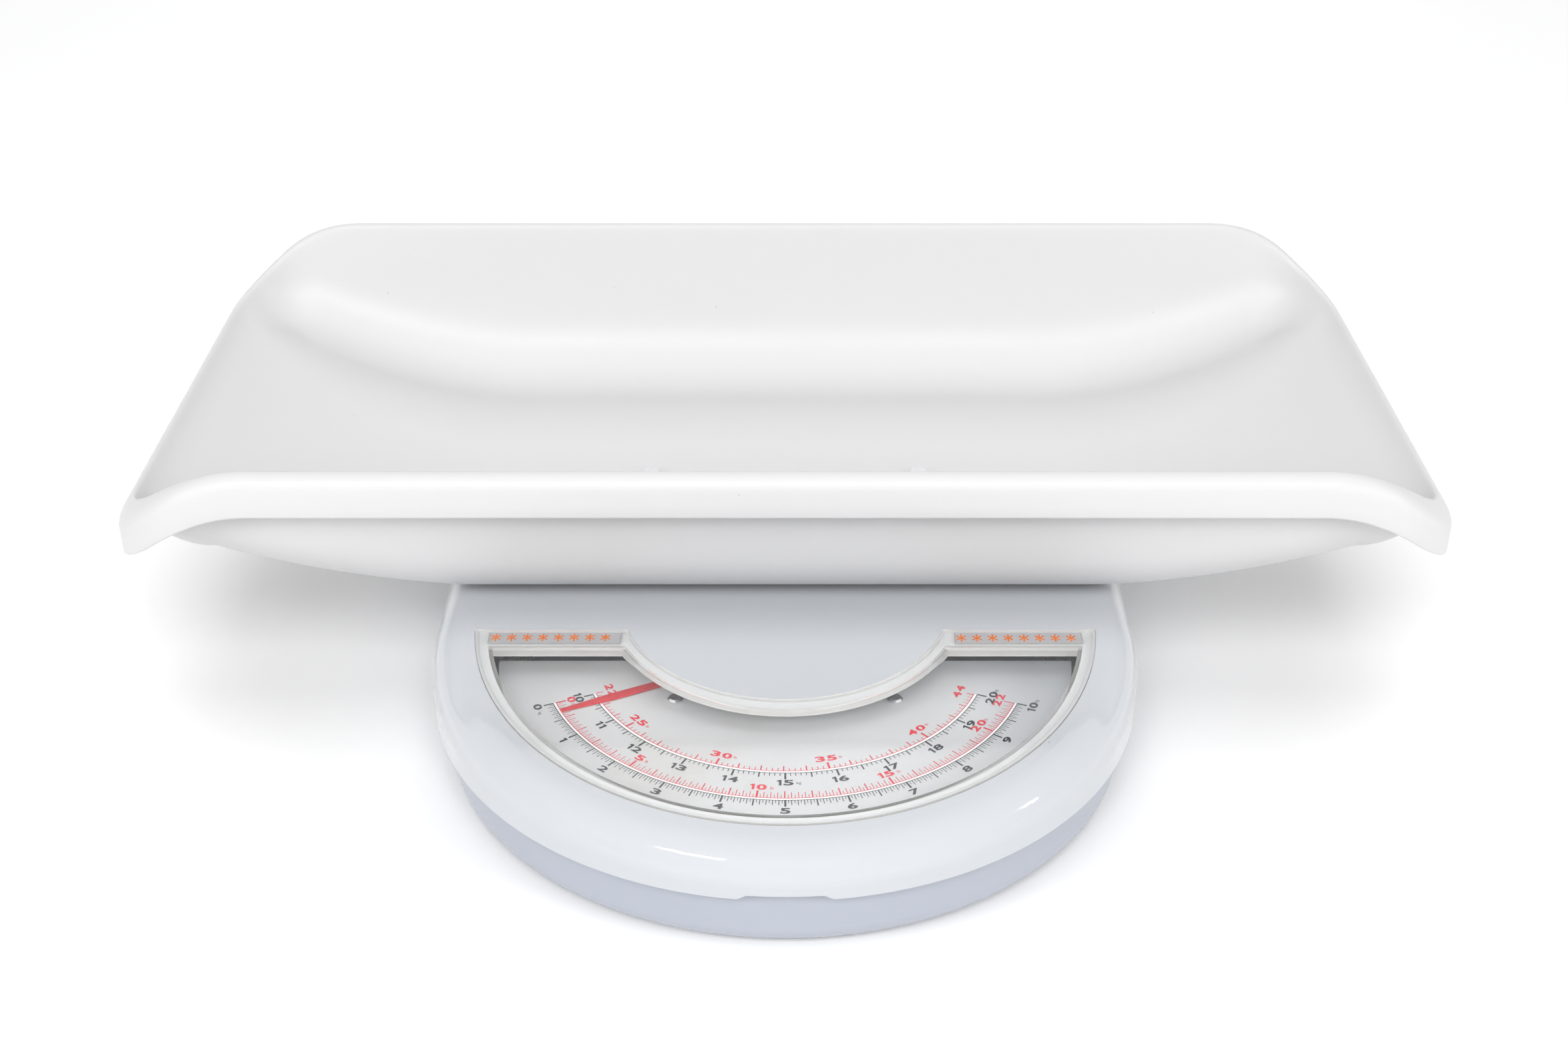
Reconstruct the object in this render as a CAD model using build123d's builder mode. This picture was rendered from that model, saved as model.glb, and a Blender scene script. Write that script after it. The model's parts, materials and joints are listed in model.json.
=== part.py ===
from build123d import *
import math
import os

# Mechanical baby scale: a trough on a moving D-shaped cover, over a lever, spring and dial works.
# Millimetres, +Z up, the front with the dial faces -Y.
# The origin is the centre of the footprint on the table.

# Dial
dial_radius = 100.0          # arc that the outer scale's ticks stand on
inner_scale_radius = 83.0
dial_z = 38.0                # top of the dial plate
dial_plate_radius = 118.0
dial_plate_back = -7.0       # straight back edge, measured from the dial's axis
dial_plate_thickness = 0.8
dial_screw_x = 44.0
dial_screw_y = -35.0
dial_full_sweep = 271.74     # degrees of pointer travel for the full load
pointer_rest_angle = 205.8   # degrees, where the pointer stands when the tray is empty

# Cover
cover_radius = 144.5
cover_back = 205.0           # from the dial's axis
cover_corner = 45.0
cover_wall = 2.5
cover_top_z = 56.0
skirt_z = 28.0
crease_y = -11.0             # where the flat top starts to slope down to the front
slope_angle = 4.0
crease_blend = 150.0
cover_rounding = 14.0
notch_top_width = 28.0
notch_bottom_width = 35.0
notch_height = 2.0

# Lens and window
lens_radius = 126.5
lens_back = -10.0
tongue_radius = 68.0
tongue_y = 13.0
lens_thickness = 2.0
lens_ridge_height = 0.8
lens_ridge_width = 1.6
lens_wall_height = 5.0
lens_wall_thickness = 1.6
window_radius = 121.5
window_back = -19.0
window_tongue_radius = 72.0
lens_fit = 0.2
seat_rim = 2.5
seat_wall = 2.0

# Base pan
pan_radius = 139.5
pan_back = 200.0
pan_corner = 40.0
pan_wall = 2.5
pan_bottom_z = 2.0
pan_top_z = 33.0
pan_rounding = 8.0

# Feet
foot_radius = 12.0
foot_edge = 0.8
foot_plug_radius = 4.0
foot_plug_height = 5.0
foot_places = ((-78.0, -88.0), (78.0, -88.0), (-100.0, 165.0), (100.0, 165.0))

# Tray
tray_offset = 114.0          # tray centre behind the dial's axis
tray_half_length = 272.0
tray_half_width = 133.0
tray_corner = 40.0
tray_crest_z = 131.0
tray_wall = 2.5
tray_rim_width = 7.0
tray_roll = 5.5
tray_flange = 18.0
tray_draft = 15.0
tray_floor_fillet = 35.0
tray_end_fillet = 26.0
rim_flat_half = 210.0        # the rim starts to dip here
rim_dip_radius = 60.0
rim_dip_angle = 38.66
ramp_start = 129.0
ramp_knee_radius = 120.0
ramp_knee_angle = 5.7
ramp_radius = 340.0
seat_plate_thickness = 1.2
seat_plate_length = 250.0
seat_plate_width = 172.0
seat_plate_corner = 14.0
tray_screw_x = 61.0
tray_screw_head = 4.6
tray_screw_head_height = 2.4
tray_screw_radius = 2.4
screw_fit = 0.1

# Platform frame
frame_length = 246.0
frame_width = 150.0
frame_corner = 24.0
frame_thickness = 2.0
frame_flange = 7.0
frame_hole_radius = 15.0
frame_hole_pitch = 48.0
load_post_radius = 5.0

# Lever works
travel = 1.3                 # the platform sinks this far under the full load
load_arm = 51.0
fulcrum_back_y = 184.0
fulcrum_front_y = 14.0
spring_y = -112.0
lever_axis_z = 20.0
lever_height = 10.0
lever_thickness = 2.5
lever_pin_radius = 2.0
pin_fit = 0.05
seat_gap = 0.3
long_lever_back_x = 104.0
long_lever_nose_x = 12.0
long_lever_overhang = 4.0
short_lever_front_x = 116.0
short_tip_offset = 6.0
nose_height = 4.0
nose_length = 9.0
post_offset = 8.5
stand_cheek = 2.0
stand_half_gap = 3.6
stand_length = 9.0
stand_base = 1.5
stand_crown = 4.5

# Spring plate, springs and zero adjuster
plate_thickness = 1.6
plate_half_width = 27.0
plate_body_half = 17.0
plate_bottom_clear = 0.5
plate_top_z = 26.0
spring_x = 22.0
spring_radius = 3.6
spring_wire = 0.6            # radius of the wire
spring_turns = 5
spring_wire_sides = 6
spring_eye_z = 16.2
hanger_z = 33.8
hanger_thickness = 1.6
hanger_width = 6.0
hanger_relief = 2.0          # cut for the bell crank's finger as it passes upright
wheel_y = -128.0
wheel_radius = 12.0
wheel_thickness = 4.0
wheel_z = 28.8
wheel_grooves = 24
wheel_groove = 1.0
screw_radius = 2.5
bracket_sheet = 1.6

# Bell crank, rack and pinion
tooth_module = 0.6
pinion_teeth = 12
tooth_addendum = 0.5
tooth_dedendum = 0.7
tooth_width = 0.8            # at the pitch line, thin for free running
tooth_flank_angle = 20.0
pinion_face = 4.0
shaft_radius = 1.5
crank_output_arm = 21.5
crank_z = 12.0
crank_thickness = 2.0
crank_hub_radius = 3.5
crank_tip_radius = 1.6
crank_neck = 2.2
crank_pin_radius = 1.5
crank_tip_fit = 0.3
rack_thickness = 1.6
rack_width = 5.6
rack_side_fit = 0.2
bush_radius = 3.0

# Values worked out from the ones above
tray_back = tray_offset + tray_half_width
dial_y = (cover_radius - tray_back) / 2
pan_floor_z = pan_bottom_z + pan_wall
cover_under_z = cover_top_z - cover_wall
tray_floor_z = cover_top_z + seat_plate_thickness + tray_wall
nose_arm = fulcrum_back_y - spring_y
nose_drop = travel * nose_arm / load_arm
short_tip_y = (fulcrum_back_y + fulcrum_front_y) / 2
pitch_radius = tooth_module * pinion_teeth / 2
rack_travel = math.radians(dial_full_sweep) * pitch_radius
crank_half_swing = math.degrees(math.asin(rack_travel / (2 * crank_output_arm)))
crank_input_arm = nose_drop / (2 * math.sin(math.radians(crank_half_swing)))
arm_shrink = (1 + math.cos(math.radians(crank_half_swing))) / 2
crank_y = spring_y + crank_input_arm * arm_shrink
rack_z = crank_z + crank_output_arm * arm_shrink
tooth_root_x = -(pitch_radius + tooth_dedendum)
rack_outer_x = tooth_root_x - rack_width
crank_x = (tooth_root_x + rack_outer_x) / 2


def level(z):
    """Horizontal plane at height z, its origin on the dial's axis."""
    return Plane((0, dial_y, z))


def upright(x):
    """Plane across X: local x runs to the back, local y runs up."""
    return Plane(origin=(x, dial_y, 0), x_dir=(0, 1, 0), z_dir=(1, 0, 0))


def facing(y):
    """Plane across Y: local x runs to the right, local y runs up."""
    return Plane(origin=(0, dial_y + y, 0), x_dir=(1, 0, 0), z_dir=(0, -1, 0))


def d_plan(z, radius, back, corner):
    """The base's outline: round in front, square behind with rounded corners."""
    with BuildSketch(level(z)) as plan:
        Circle(radius)
        with Locations((0, back / 2)):
            Rectangle(2 * radius, back)
        fillet(plan.vertices().group_by(Axis.Y)[-1], radius=corner)
    return plan.sketch


def half_moon(z, radius, back, tongue):
    """The window's outline: a half disc with the round tongue left out."""
    with BuildSketch(level(z)) as moon:
        Circle(radius)
        with Locations((0, back + radius)):
            Rectangle(3 * radius, 2 * radius, mode=Mode.SUBTRACT)
        with Locations((0, tongue_y)):
            Circle(tongue, mode=Mode.SUBTRACT)
    return moon.sketch


def under_roof(drop):
    """Everything under the cover's roof line, lowered by drop."""
    top = cover_top_z - drop
    reach = cover_radius + cover_wall
    lead = crease_blend * math.tan(math.radians(slope_angle / 2))
    with BuildPart() as roof:
        with BuildSketch(upright(0)):
            with BuildLine():
                flat = Line((cover_back + cover_wall, top), (crease_y + lead, top))
                bend = JernArc(flat @ 1, (-1, 0), crease_blend, slope_angle)
                fall = (reach + (bend @ 1).X) * math.tan(math.radians(slope_angle))
                Polyline(
                    bend @ 1,
                    (-reach, (bend @ 1).Y - fall),
                    (-reach, 0),
                    (cover_back + cover_wall, 0),
                    flat @ 0,
                )
            make_face()
        extrude(amount=reach, both=True)
    return roof.part


def cover_block(inset):
    """The cover's outer form, moved in by inset on every side."""
    start = skirt_z if inset == 0 else skirt_z - cover_wall
    radius = cover_radius - inset
    back = cover_back - inset
    with BuildPart() as block:
        extrude(d_plan(start, radius, back, cover_corner - inset), amount=cover_top_z)
        add(under_roof(inset), mode=Mode.INTERSECT)
        high = block.edges().filter_by(lambda e: e.bounding_box().min.Z > skirt_z + cover_rounding)
        creases = high.filter_by(Axis.X).filter_by(lambda e: e.center().Y < dial_y + back - 1)
        fillet(high - creases, radius=cover_rounding - inset)
    return block.part


def lens_slab(radius, back, tongue, top_drop, bottom_drop):
    """A slice of the window's outline between two depths under the roof line."""
    with BuildPart() as slab:
        extrude(half_moon(skirt_z, radius, back, tongue), amount=cover_top_z)
        add(under_roof(top_drop), mode=Mode.INTERSECT)
        add(under_roof(bottom_drop), mode=Mode.SUBTRACT)
    return slab.part


# Base pan
wheel_slot_width = 26.0

with BuildPart() as base_pan:
    extrude(d_plan(pan_bottom_z, pan_radius, pan_back, pan_corner), amount=pan_top_z - pan_bottom_z)
    fillet(base_pan.faces().sort_by(Axis.Z)[0].edges(), radius=pan_rounding)
    with BuildPart(mode=Mode.PRIVATE) as pan_hollow:
        extrude(
            d_plan(pan_floor_z, pan_radius - pan_wall, pan_back - pan_wall, pan_corner - pan_wall),
            amount=pan_top_z,
        )
        fillet(pan_hollow.faces().sort_by(Axis.Z)[0].edges(), radius=pan_rounding - pan_wall)
    add(pan_hollow.part, mode=Mode.SUBTRACT)
    with BuildSketch(level(skirt_z)):
        with Locations((0, -pan_radius)):
            Rectangle(wheel_slot_width, 4 * pan_wall)
    extrude(amount=pan_top_z, mode=Mode.SUBTRACT)
    with BuildSketch(level(pan_bottom_z)):
        with Locations(*foot_places):
            Circle(foot_plug_radius + pin_fit)
    extrude(amount=pan_wall, mode=Mode.SUBTRACT)
base_pan.part.label = "base_pan"

# Rubber feet, each a pad with a plug through the pan's floor
with BuildPart() as rubber_feet:
    with BuildSketch(level(0)):
        with Locations(*foot_places):
            Circle(foot_radius)
    extrude(amount=pan_bottom_z)
    chamfer(rubber_feet.faces().group_by(Axis.Z)[0].edges(), length=foot_edge)
    with BuildSketch(level(pan_bottom_z)):
        with Locations(*foot_places):
            Circle(foot_plug_radius)
    extrude(amount=foot_plug_height)
rubber_feet.part.label = "rubber_feet"

# Top cover
with BuildPart() as top_cover:
    add(cover_block(0))
    add(cover_block(cover_wall), mode=Mode.SUBTRACT)
    add(
        lens_slab(
            lens_radius + seat_rim,
            lens_back + seat_rim,
            tongue_radius - seat_rim,
            cover_wall / 2,
            lens_thickness + seat_wall,
        )
    )
    add(
        lens_slab(
            lens_radius + lens_fit,
            lens_back + lens_fit,
            tongue_radius - lens_fit,
            -cover_wall,
            lens_thickness,
        ),
        mode=Mode.SUBTRACT,
    )
    add(
        lens_slab(window_radius, window_back, window_tongue_radius, -cover_wall, cover_rounding),
        mode=Mode.SUBTRACT,
    )
    with BuildSketch(facing(-cover_radius)):
        with BuildLine():
            Polyline(
                (-notch_bottom_width / 2, skirt_z),
                (-notch_top_width / 2, skirt_z + notch_height),
                (notch_top_width / 2, skirt_z + notch_height),
                (notch_bottom_width / 2, skirt_z),
                close=True,
            )
        make_face()
    extrude(amount=4 * cover_wall, both=True, mode=Mode.SUBTRACT)
    with BuildSketch(level(cover_under_z)):
        with Locations((-tray_screw_x, tray_offset), (tray_screw_x, tray_offset)):
            Circle(tray_screw_radius + screw_fit)
    extrude(amount=2 * cover_wall, mode=Mode.SUBTRACT)
top_cover.part.label = "top_cover"

# Lens: a flush pane with a raised ridge round its edge and a wall that hangs in the window
with BuildPart() as lens:
    add(lens_slab(lens_radius, lens_back, tongue_radius, 0, lens_thickness))
    add(lens_slab(lens_radius, lens_back, tongue_radius, -lens_ridge_height, lens_thickness / 2))
    add(
        lens_slab(
            lens_radius - lens_ridge_width,
            lens_back - lens_ridge_width,
            tongue_radius + lens_ridge_width,
            -2 * lens_ridge_height,
            0,
        ),
        mode=Mode.SUBTRACT,
    )
    add(
        lens_slab(
            window_radius - lens_fit,
            window_back - lens_fit,
            window_tongue_radius + lens_fit,
            lens_thickness / 2,
            lens_thickness + lens_wall_height,
        )
    )
    add(
        lens_slab(
            window_radius - lens_fit - lens_wall_thickness,
            window_back - lens_fit - lens_wall_thickness,
            window_tongue_radius + lens_fit + lens_wall_thickness,
            lens_thickness,
            cover_rounding,
        ),
        mode=Mode.SUBTRACT,
    )
lens.part.label = "lens"


def tray_level(z):
    """Horizontal plane at height z, its origin at the tray's centre."""
    return Plane((0, dial_y + tray_offset, z))


def tray_facing():
    """Plane across Y through the tray's centre: local x runs to the right, local y runs up."""
    return facing(tray_offset)


def under_rim(drop):
    """Everything under the rim's line, lowered by drop: level in the middle, dipping at the ends."""
    reach = tray_half_length + tray_rim_width
    crest = tray_crest_z - drop
    with BuildPart() as below:
        with BuildSketch(tray_facing()):
            for hand in (-1, 1):
                with BuildLine():
                    flat = Line((0, crest), (hand * rim_flat_half, crest))
                    dip = JernArc(flat @ 1, (hand, 0), rim_dip_radius, -hand * rim_dip_angle)
                    run = reach - abs((dip @ 1).X)
                    end_z = (dip @ 1).Y - run * math.tan(math.radians(rim_dip_angle))
                    Polyline(dip @ 1, (hand * reach, end_z), (hand * reach, 0), (0, 0), flat @ 0)
                make_face()
        extrude(amount=tray_half_width + tray_rim_width, both=True)
    return below.part


def above_ramp(outset):
    """Everything above the tray's bottom line, lowered by outset: level, a knee, then a ramp."""
    reach = 1.2 * tray_half_length
    bottom = tray_floor_z - outset
    top = 1.5 * tray_crest_z
    ramp_sweep = math.degrees(math.asin((tray_half_length - ramp_start) / ramp_radius))
    with BuildPart() as above:
        with BuildSketch(tray_facing()):
            for hand in (-1, 1):
                with BuildLine():
                    flat = Line((0, bottom), (hand * ramp_start, bottom))
                    knee = JernArc(flat @ 1, (hand, 0), ramp_knee_radius, hand * ramp_knee_angle)
                    ramp = JernArc(knee @ 1, knee % 1, ramp_radius, hand * ramp_sweep)
                    Polyline(ramp @ 1, (hand * reach, (ramp @ 1).Y), (hand * reach, top), (0, top), flat @ 0)
                make_face()
        extrude(amount=tray_half_width + tray_rim_width, both=True)
    return above.part


def trough(outset):
    """The space inside the tray, moved out by outset on every side."""
    top = 1.2 * tray_crest_z
    crest_grow = (tray_crest_z - tray_floor_z) * math.tan(math.radians(tray_draft))
    half_length = tray_half_length + tray_rim_width / 4 - crest_grow + outset
    half_width = tray_half_width - tray_rim_width - crest_grow + outset
    with BuildPart() as space:
        with BuildSketch(tray_level(tray_floor_z - outset)):
            Rectangle(2 * half_length, 2 * half_width)
        extrude(amount=top - tray_floor_z, taper=-tray_draft)
        add(above_ramp(outset), mode=Mode.INTERSECT)
        low = space.edges().filter_by(lambda e: abs(e.center().X) < 0.9 * tray_half_length)
        sides = low.filter_by(lambda e: abs(e.center().Y - dial_y - tray_offset) > half_width / 2)
        sides = sides.filter_by(lambda e: e.center().Z < tray_crest_z)
        fillet(sides, radius=tray_floor_fillet + outset)
        for hand in (0, -1):
            end_face = space.faces().filter_by(
                lambda f: abs(f.normal_at().X) > 0.8 and abs(f.center().X) > 0.8 * tray_half_length
            ).sort_by(Axis.X)[hand]
            loop = end_face.edges().filter_by(lambda e: e.center().Z < top - outset - 1)
            fillet(loop, radius=tray_end_fillet + outset)
    return space.part


def rim_plan(z, inset):
    """The tray's outline from above, moved in by inset."""
    with BuildSketch(tray_level(z)) as plan:
        RectangleRounded(
            2 * (tray_half_length - inset), 2 * (tray_half_width - inset), tray_corner - inset
        )
    return plan.sketch


# Tray: a trough with a rim that rolls over and hangs down outside
with BuildPart() as tray:
    extrude(rim_plan(tray_floor_z, 0), amount=tray_crest_z)
    add(under_rim(0), mode=Mode.INTERSECT)
    crest_edges = tray.edges().filter_by(lambda e: e.bounding_box().min.Z > tray_floor_z + 1)
    crest_edges = crest_edges.filter_by(
        lambda e: e.bounding_box().size.Y < 1.9 * tray_half_width
    )
    tall = crest_edges.filter_by(Axis.Z)
    fillet(crest_edges - tall, radius=tray_roll)
    with BuildPart(mode=Mode.PRIVATE) as rim_hollow:
        extrude(rim_plan(tray_floor_z, tray_wall), amount=tray_crest_z)
        add(under_rim(tray_wall), mode=Mode.INTERSECT)
    add(rim_hollow.part, mode=Mode.SUBTRACT)
    add(under_rim(tray_flange), mode=Mode.SUBTRACT)
    with BuildPart(mode=Mode.PRIVATE) as basin:
        add(trough(tray_wall))
        add(under_rim(tray_wall / 2), mode=Mode.INTERSECT)
    add(basin.part)
    add(trough(0), mode=Mode.SUBTRACT)
    with BuildSketch(tray_level(tray_floor_z - 2 * tray_wall)):
        with Locations((-tray_screw_x, 0), (tray_screw_x, 0)):
            Circle(tray_screw_radius + screw_fit)
    extrude(amount=4 * tray_wall, mode=Mode.SUBTRACT)
tray.part.label = "tray"

# Seat plate between the cover and the tray
with BuildPart() as seat_plate:
    with BuildSketch(tray_level(cover_top_z)):
        RectangleRounded(seat_plate_length, seat_plate_width, seat_plate_corner)
        with Locations((-tray_screw_x, 0), (tray_screw_x, 0)):
            Circle(tray_screw_radius + screw_fit, mode=Mode.SUBTRACT)
    extrude(amount=seat_plate_thickness)
seat_plate.part.label = "seat_plate"

# Platform frame under the cover's roof, a flanged plate with lightening holes
with BuildPart() as platform_frame:
    with BuildSketch(tray_level(cover_under_z)):
        RectangleRounded(frame_length, frame_width, frame_corner)
        with GridLocations(frame_hole_pitch, frame_hole_pitch, 5, 3):
            Circle(frame_hole_radius, mode=Mode.SUBTRACT)
        with Locations((-tray_screw_x, 0), (tray_screw_x, 0)):
            Circle(tray_screw_head)
            Circle(tray_screw_radius + screw_fit, mode=Mode.SUBTRACT)
    extrude(amount=-frame_thickness)
    with BuildSketch(tray_level(cover_under_z - frame_thickness)):
        RectangleRounded(frame_length, frame_width, frame_corner)
        RectangleRounded(
            frame_length - 2 * frame_thickness,
            frame_width - 2 * frame_thickness,
            frame_corner - frame_thickness,
            mode=Mode.SUBTRACT,
        )
    extrude(amount=-frame_flange + frame_thickness)
platform_frame.part.label = "platform_frame"

# Tray screws through tray, seat plate, cover and frame
with BuildPart() as tray_screws:
    with BuildSketch(tray_level(tray_floor_z)):
        with Locations((-tray_screw_x, 0), (tray_screw_x, 0)):
            Circle(tray_screw_head)
    extrude(amount=tray_screw_head_height)
    chamfer(tray_screws.faces().group_by(Axis.Z)[-1].edges(), length=tray_screw_head_height / 2)
    with BuildSketch(tray_level(tray_floor_z)):
        with Locations((-tray_screw_x, 0), (tray_screw_x, 0)):
            Circle(tray_screw_radius)
    extrude(amount=cover_under_z - frame_flange - tray_floor_z)
tray_screws.part.label = "tray_screws"


def long_lever_x(y):
    """The long lever's centre line runs slantwise from the back fulcrum to the nose."""
    share = (y - spring_y) / nose_arm
    return long_lever_nose_x + share * (long_lever_back_x - long_lever_nose_x)


short_tip_x = long_lever_x(short_tip_y) + short_tip_offset


def short_lever_x(y):
    """The short lever's centre line runs from the front fulcrum to the long lever's middle."""
    share = (y - fulcrum_front_y) / (short_tip_y - fulcrum_front_y)
    return short_lever_front_x + share * (short_tip_x - short_lever_front_x)


back_load_y = fulcrum_back_y - load_arm
front_load_y = fulcrum_front_y + load_arm
back_post_x = long_lever_x(back_load_y) + post_offset
front_post_x = short_lever_x(front_load_y) + post_offset

# Load posts that carry the platform on the levers' pins
post_foot_z = lever_axis_z + lever_pin_radius + seat_gap
with BuildPart() as load_posts:
    with BuildSketch(level(post_foot_z)):
        for side in (-1, 1):
            with Locations((side * back_post_x, back_load_y), (side * front_post_x, front_load_y)):
                Circle(load_post_radius)
    extrude(amount=cover_under_z - frame_thickness - post_foot_z)
    chamfer(load_posts.faces().group_by(Axis.Z)[0].edges(), length=1.5)
load_posts.part.label = "load_posts"


def lever_bar(start, end, z_low, z_high):
    """A flat bar on edge between two points of the plan."""
    run = math.dist(start, end)
    heading = math.degrees(math.atan2(end[1] - start[1], end[0] - start[0]))
    middle = ((start[0] + end[0]) / 2, (start[1] + end[1]) / 2)
    with BuildPart() as bar:
        with BuildSketch(level(z_low)):
            with Locations(Location(middle, heading)):
                Rectangle(run, lever_thickness)
        extrude(amount=z_high - z_low)
    return bar.part


def cross_pin(x_from, x_to, y):
    """A round pin along X at the levers' axis height."""
    with BuildPart() as pin:
        with BuildSketch(upright(x_from)):
            with Locations((y, lever_axis_z)):
                Circle(lever_pin_radius)
        extrude(amount=x_to - x_from)
    return pin.part


def long_lever(side, name):
    """One long lever with its fulcrum pin, load pin, notch for the short lever and nose."""
    half = lever_height / 2
    back_y = fulcrum_back_y + long_lever_overhang
    shoulder_y = spring_y + nose_length / 2
    tip_y = spring_y - nose_length / 2
    with BuildPart() as lever:
        add(
            lever_bar(
                (side * long_lever_x(back_y), back_y),
                (side * long_lever_x(shoulder_y), shoulder_y),
                lever_axis_z - half,
                lever_axis_z + half,
            )
        )
        add(
            lever_bar(
                (side * long_lever_x(shoulder_y + 1), shoulder_y + 1),
                (side * long_lever_x(tip_y), tip_y),
                lever_axis_z - nose_height / 2,
                lever_axis_z + nose_height / 2,
            )
        )
        with BuildSketch(upright(side * long_lever_x(short_tip_y))):
            with Locations((short_tip_y, lever_axis_z + half)):
                Rectangle(2.6 * lever_pin_radius, 2 * (half + lever_pin_radius + seat_gap))
        extrude(amount=2 * lever_thickness, both=True, mode=Mode.SUBTRACT)
        fulcrum_x = side * long_lever_x(fulcrum_back_y)
        reach = stand_half_gap + stand_cheek
        add(cross_pin(fulcrum_x - reach, fulcrum_x + reach, fulcrum_back_y))
        load_x = side * long_lever_x(back_load_y)
        outer_x = side * (back_post_x + load_post_radius)
        add(cross_pin(min(load_x, outer_x), max(load_x, outer_x), back_load_y))
    lever.part.label = name
    return lever.part


def short_lever(side, name):
    """One short lever with its fulcrum pin, load pin and the tip pin that bears on the long lever."""
    half = lever_height / 2
    front_y = fulcrum_front_y - long_lever_overhang
    with BuildPart() as lever:
        add(
            lever_bar(
                (side * short_lever_x(front_y), front_y),
                (side * short_lever_x(short_tip_y + lever_pin_radius), short_tip_y + lever_pin_radius),
                lever_axis_z - half,
                lever_axis_z + half,
            )
        )
        fulcrum_x = side * short_lever_x(fulcrum_front_y)
        reach = stand_half_gap + stand_cheek
        add(cross_pin(fulcrum_x - reach, fulcrum_x + reach, fulcrum_front_y))
        load_x = side * short_lever_x(front_load_y)
        outer_x = side * (front_post_x + load_post_radius)
        add(cross_pin(min(load_x, outer_x), max(load_x, outer_x), front_load_y))
        tip_x = side * short_tip_x
        inner_x = side * (long_lever_x(short_tip_y) - lever_thickness)
        add(cross_pin(min(tip_x, inner_x), max(tip_x, inner_x), short_tip_y))
    lever.part.label = name
    return lever.part


levers = [
    long_lever(-1, "long_lever_left"),
    long_lever(1, "long_lever_right"),
    short_lever(-1, "short_lever_left"),
    short_lever(1, "short_lever_right"),
]

# Fulcrum stands: a base and two cheeks that hold each lever's pin
stand_places = []
for side in (-1, 1):
    stand_places.append((side * long_lever_x(fulcrum_back_y), fulcrum_back_y))
    stand_places.append((side * short_lever_x(fulcrum_front_y), fulcrum_front_y))
stand_half = stand_half_gap + stand_cheek

with BuildPart() as fulcrum_stands:
    with BuildSketch(level(pan_floor_z)):
        with Locations(*stand_places):
            Rectangle(2 * stand_half, stand_length)
    extrude(amount=stand_base)
    for place in stand_places:
        for hand in (-1, 1):
            middle_x = place[0] + hand * (stand_half_gap + stand_cheek / 2)
            with BuildSketch(upright(middle_x)):
                with Locations((place[1], (pan_floor_z + lever_axis_z) / 2)):
                    Rectangle(stand_length, lever_axis_z - pan_floor_z)
                with Locations((place[1], lever_axis_z)):
                    Circle(stand_crown)
                    Circle(lever_pin_radius + pin_fit, mode=Mode.SUBTRACT)
            extrude(amount=stand_cheek / 2, both=True)
fulcrum_stands.part.label = "fulcrum_stands"

# Spring plate: the levers' noses and the bell crank's finger pass through its windows
plate_bottom_z = pan_floor_z + plate_bottom_clear + nose_drop
nose_window_height = nose_height + 2 * seat_gap
nose_window_width = lever_thickness + 4 * seat_gap
finger_z = crank_z + nose_drop / 2
with BuildPart() as spring_plate:
    with BuildSketch(facing(spring_y)):
        with Locations((0, (plate_bottom_z + plate_top_z) / 2)):
            Rectangle(2 * plate_body_half, plate_top_z - plate_bottom_z)
        with Locations((0, (plate_bottom_z + spring_eye_z + 2) / 2)):
            Rectangle(2 * plate_half_width, spring_eye_z + 2 - plate_bottom_z)
        with Locations(
            (-long_lever_x(spring_y), lever_axis_z), (long_lever_x(spring_y), lever_axis_z)
        ):
            Rectangle(nose_window_width, nose_window_height, mode=Mode.SUBTRACT)
        with Locations((crank_x, finger_z)):
            Rectangle(
                crank_thickness + 2 * seat_gap, 2 * (crank_tip_radius + crank_tip_fit), mode=Mode.SUBTRACT
            )
        with Locations((-spring_x, spring_eye_z), (spring_x, spring_eye_z)):
            Circle(spring_wire + pin_fit, mode=Mode.SUBTRACT)
    extrude(amount=plate_thickness / 2, both=True)
spring_plate.part.label = "spring_plate"

# Hanger bar: a T that carries the springs' upper ends and the adjusting screw
with BuildPart() as hanger_bar:
    with BuildSketch(level(hanger_z)):
        with Locations((0, spring_y)):
            SlotOverall(2 * plate_half_width, hanger_width)
        with Locations((0, (spring_y + wheel_y) / 2)):
            Rectangle(2 * hanger_width, spring_y - wheel_y)
        with Locations((0, wheel_y)):
            Circle(hanger_width)
            Circle(screw_radius + pin_fit, mode=Mode.SUBTRACT)
        with Locations((-spring_x, spring_y), (spring_x, spring_y)):
            Circle(spring_wire + pin_fit, mode=Mode.SUBTRACT)
        with Locations((crank_x, spring_y + hanger_width / 2)):
            Rectangle(crank_thickness + 2 * seat_gap, 2 * hanger_relief, mode=Mode.SUBTRACT)
    extrude(amount=hanger_thickness)
hanger_bar.part.label = "hanger_bar"


def arc_pair(start, start_way, end, end_way):
    """Two arcs, tangent to each other, that join two points with given directions."""
    chord = end - start
    total = start_way + end_way
    a = 2 * (start_way.dot(end_way) - 1)
    b = -2 * chord.dot(total)
    c = chord.dot(chord)
    if abs(a) < 1e-9:
        reach = -c / b
    else:
        reach = (-b - math.sqrt(b * b - 4 * a * c)) / (2 * a)
    first_corner = start + start_way * reach
    second_corner = end - end_way * reach
    middle = (first_corner + second_corner) * 0.5
    way = (second_corner - first_corner).normalized()
    TangentArc(start, middle, tangent=start_way)
    TangentArc(middle, end, tangent=way)


# Main springs: a coil between the spring plate's eye and the hanger bar
coil_low_z = spring_eye_z + 2 + 2 * spring_wire
coil_high_z = hanger_z - 2 * spring_wire
coil_pitch = (coil_high_z - coil_low_z) / spring_turns


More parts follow.
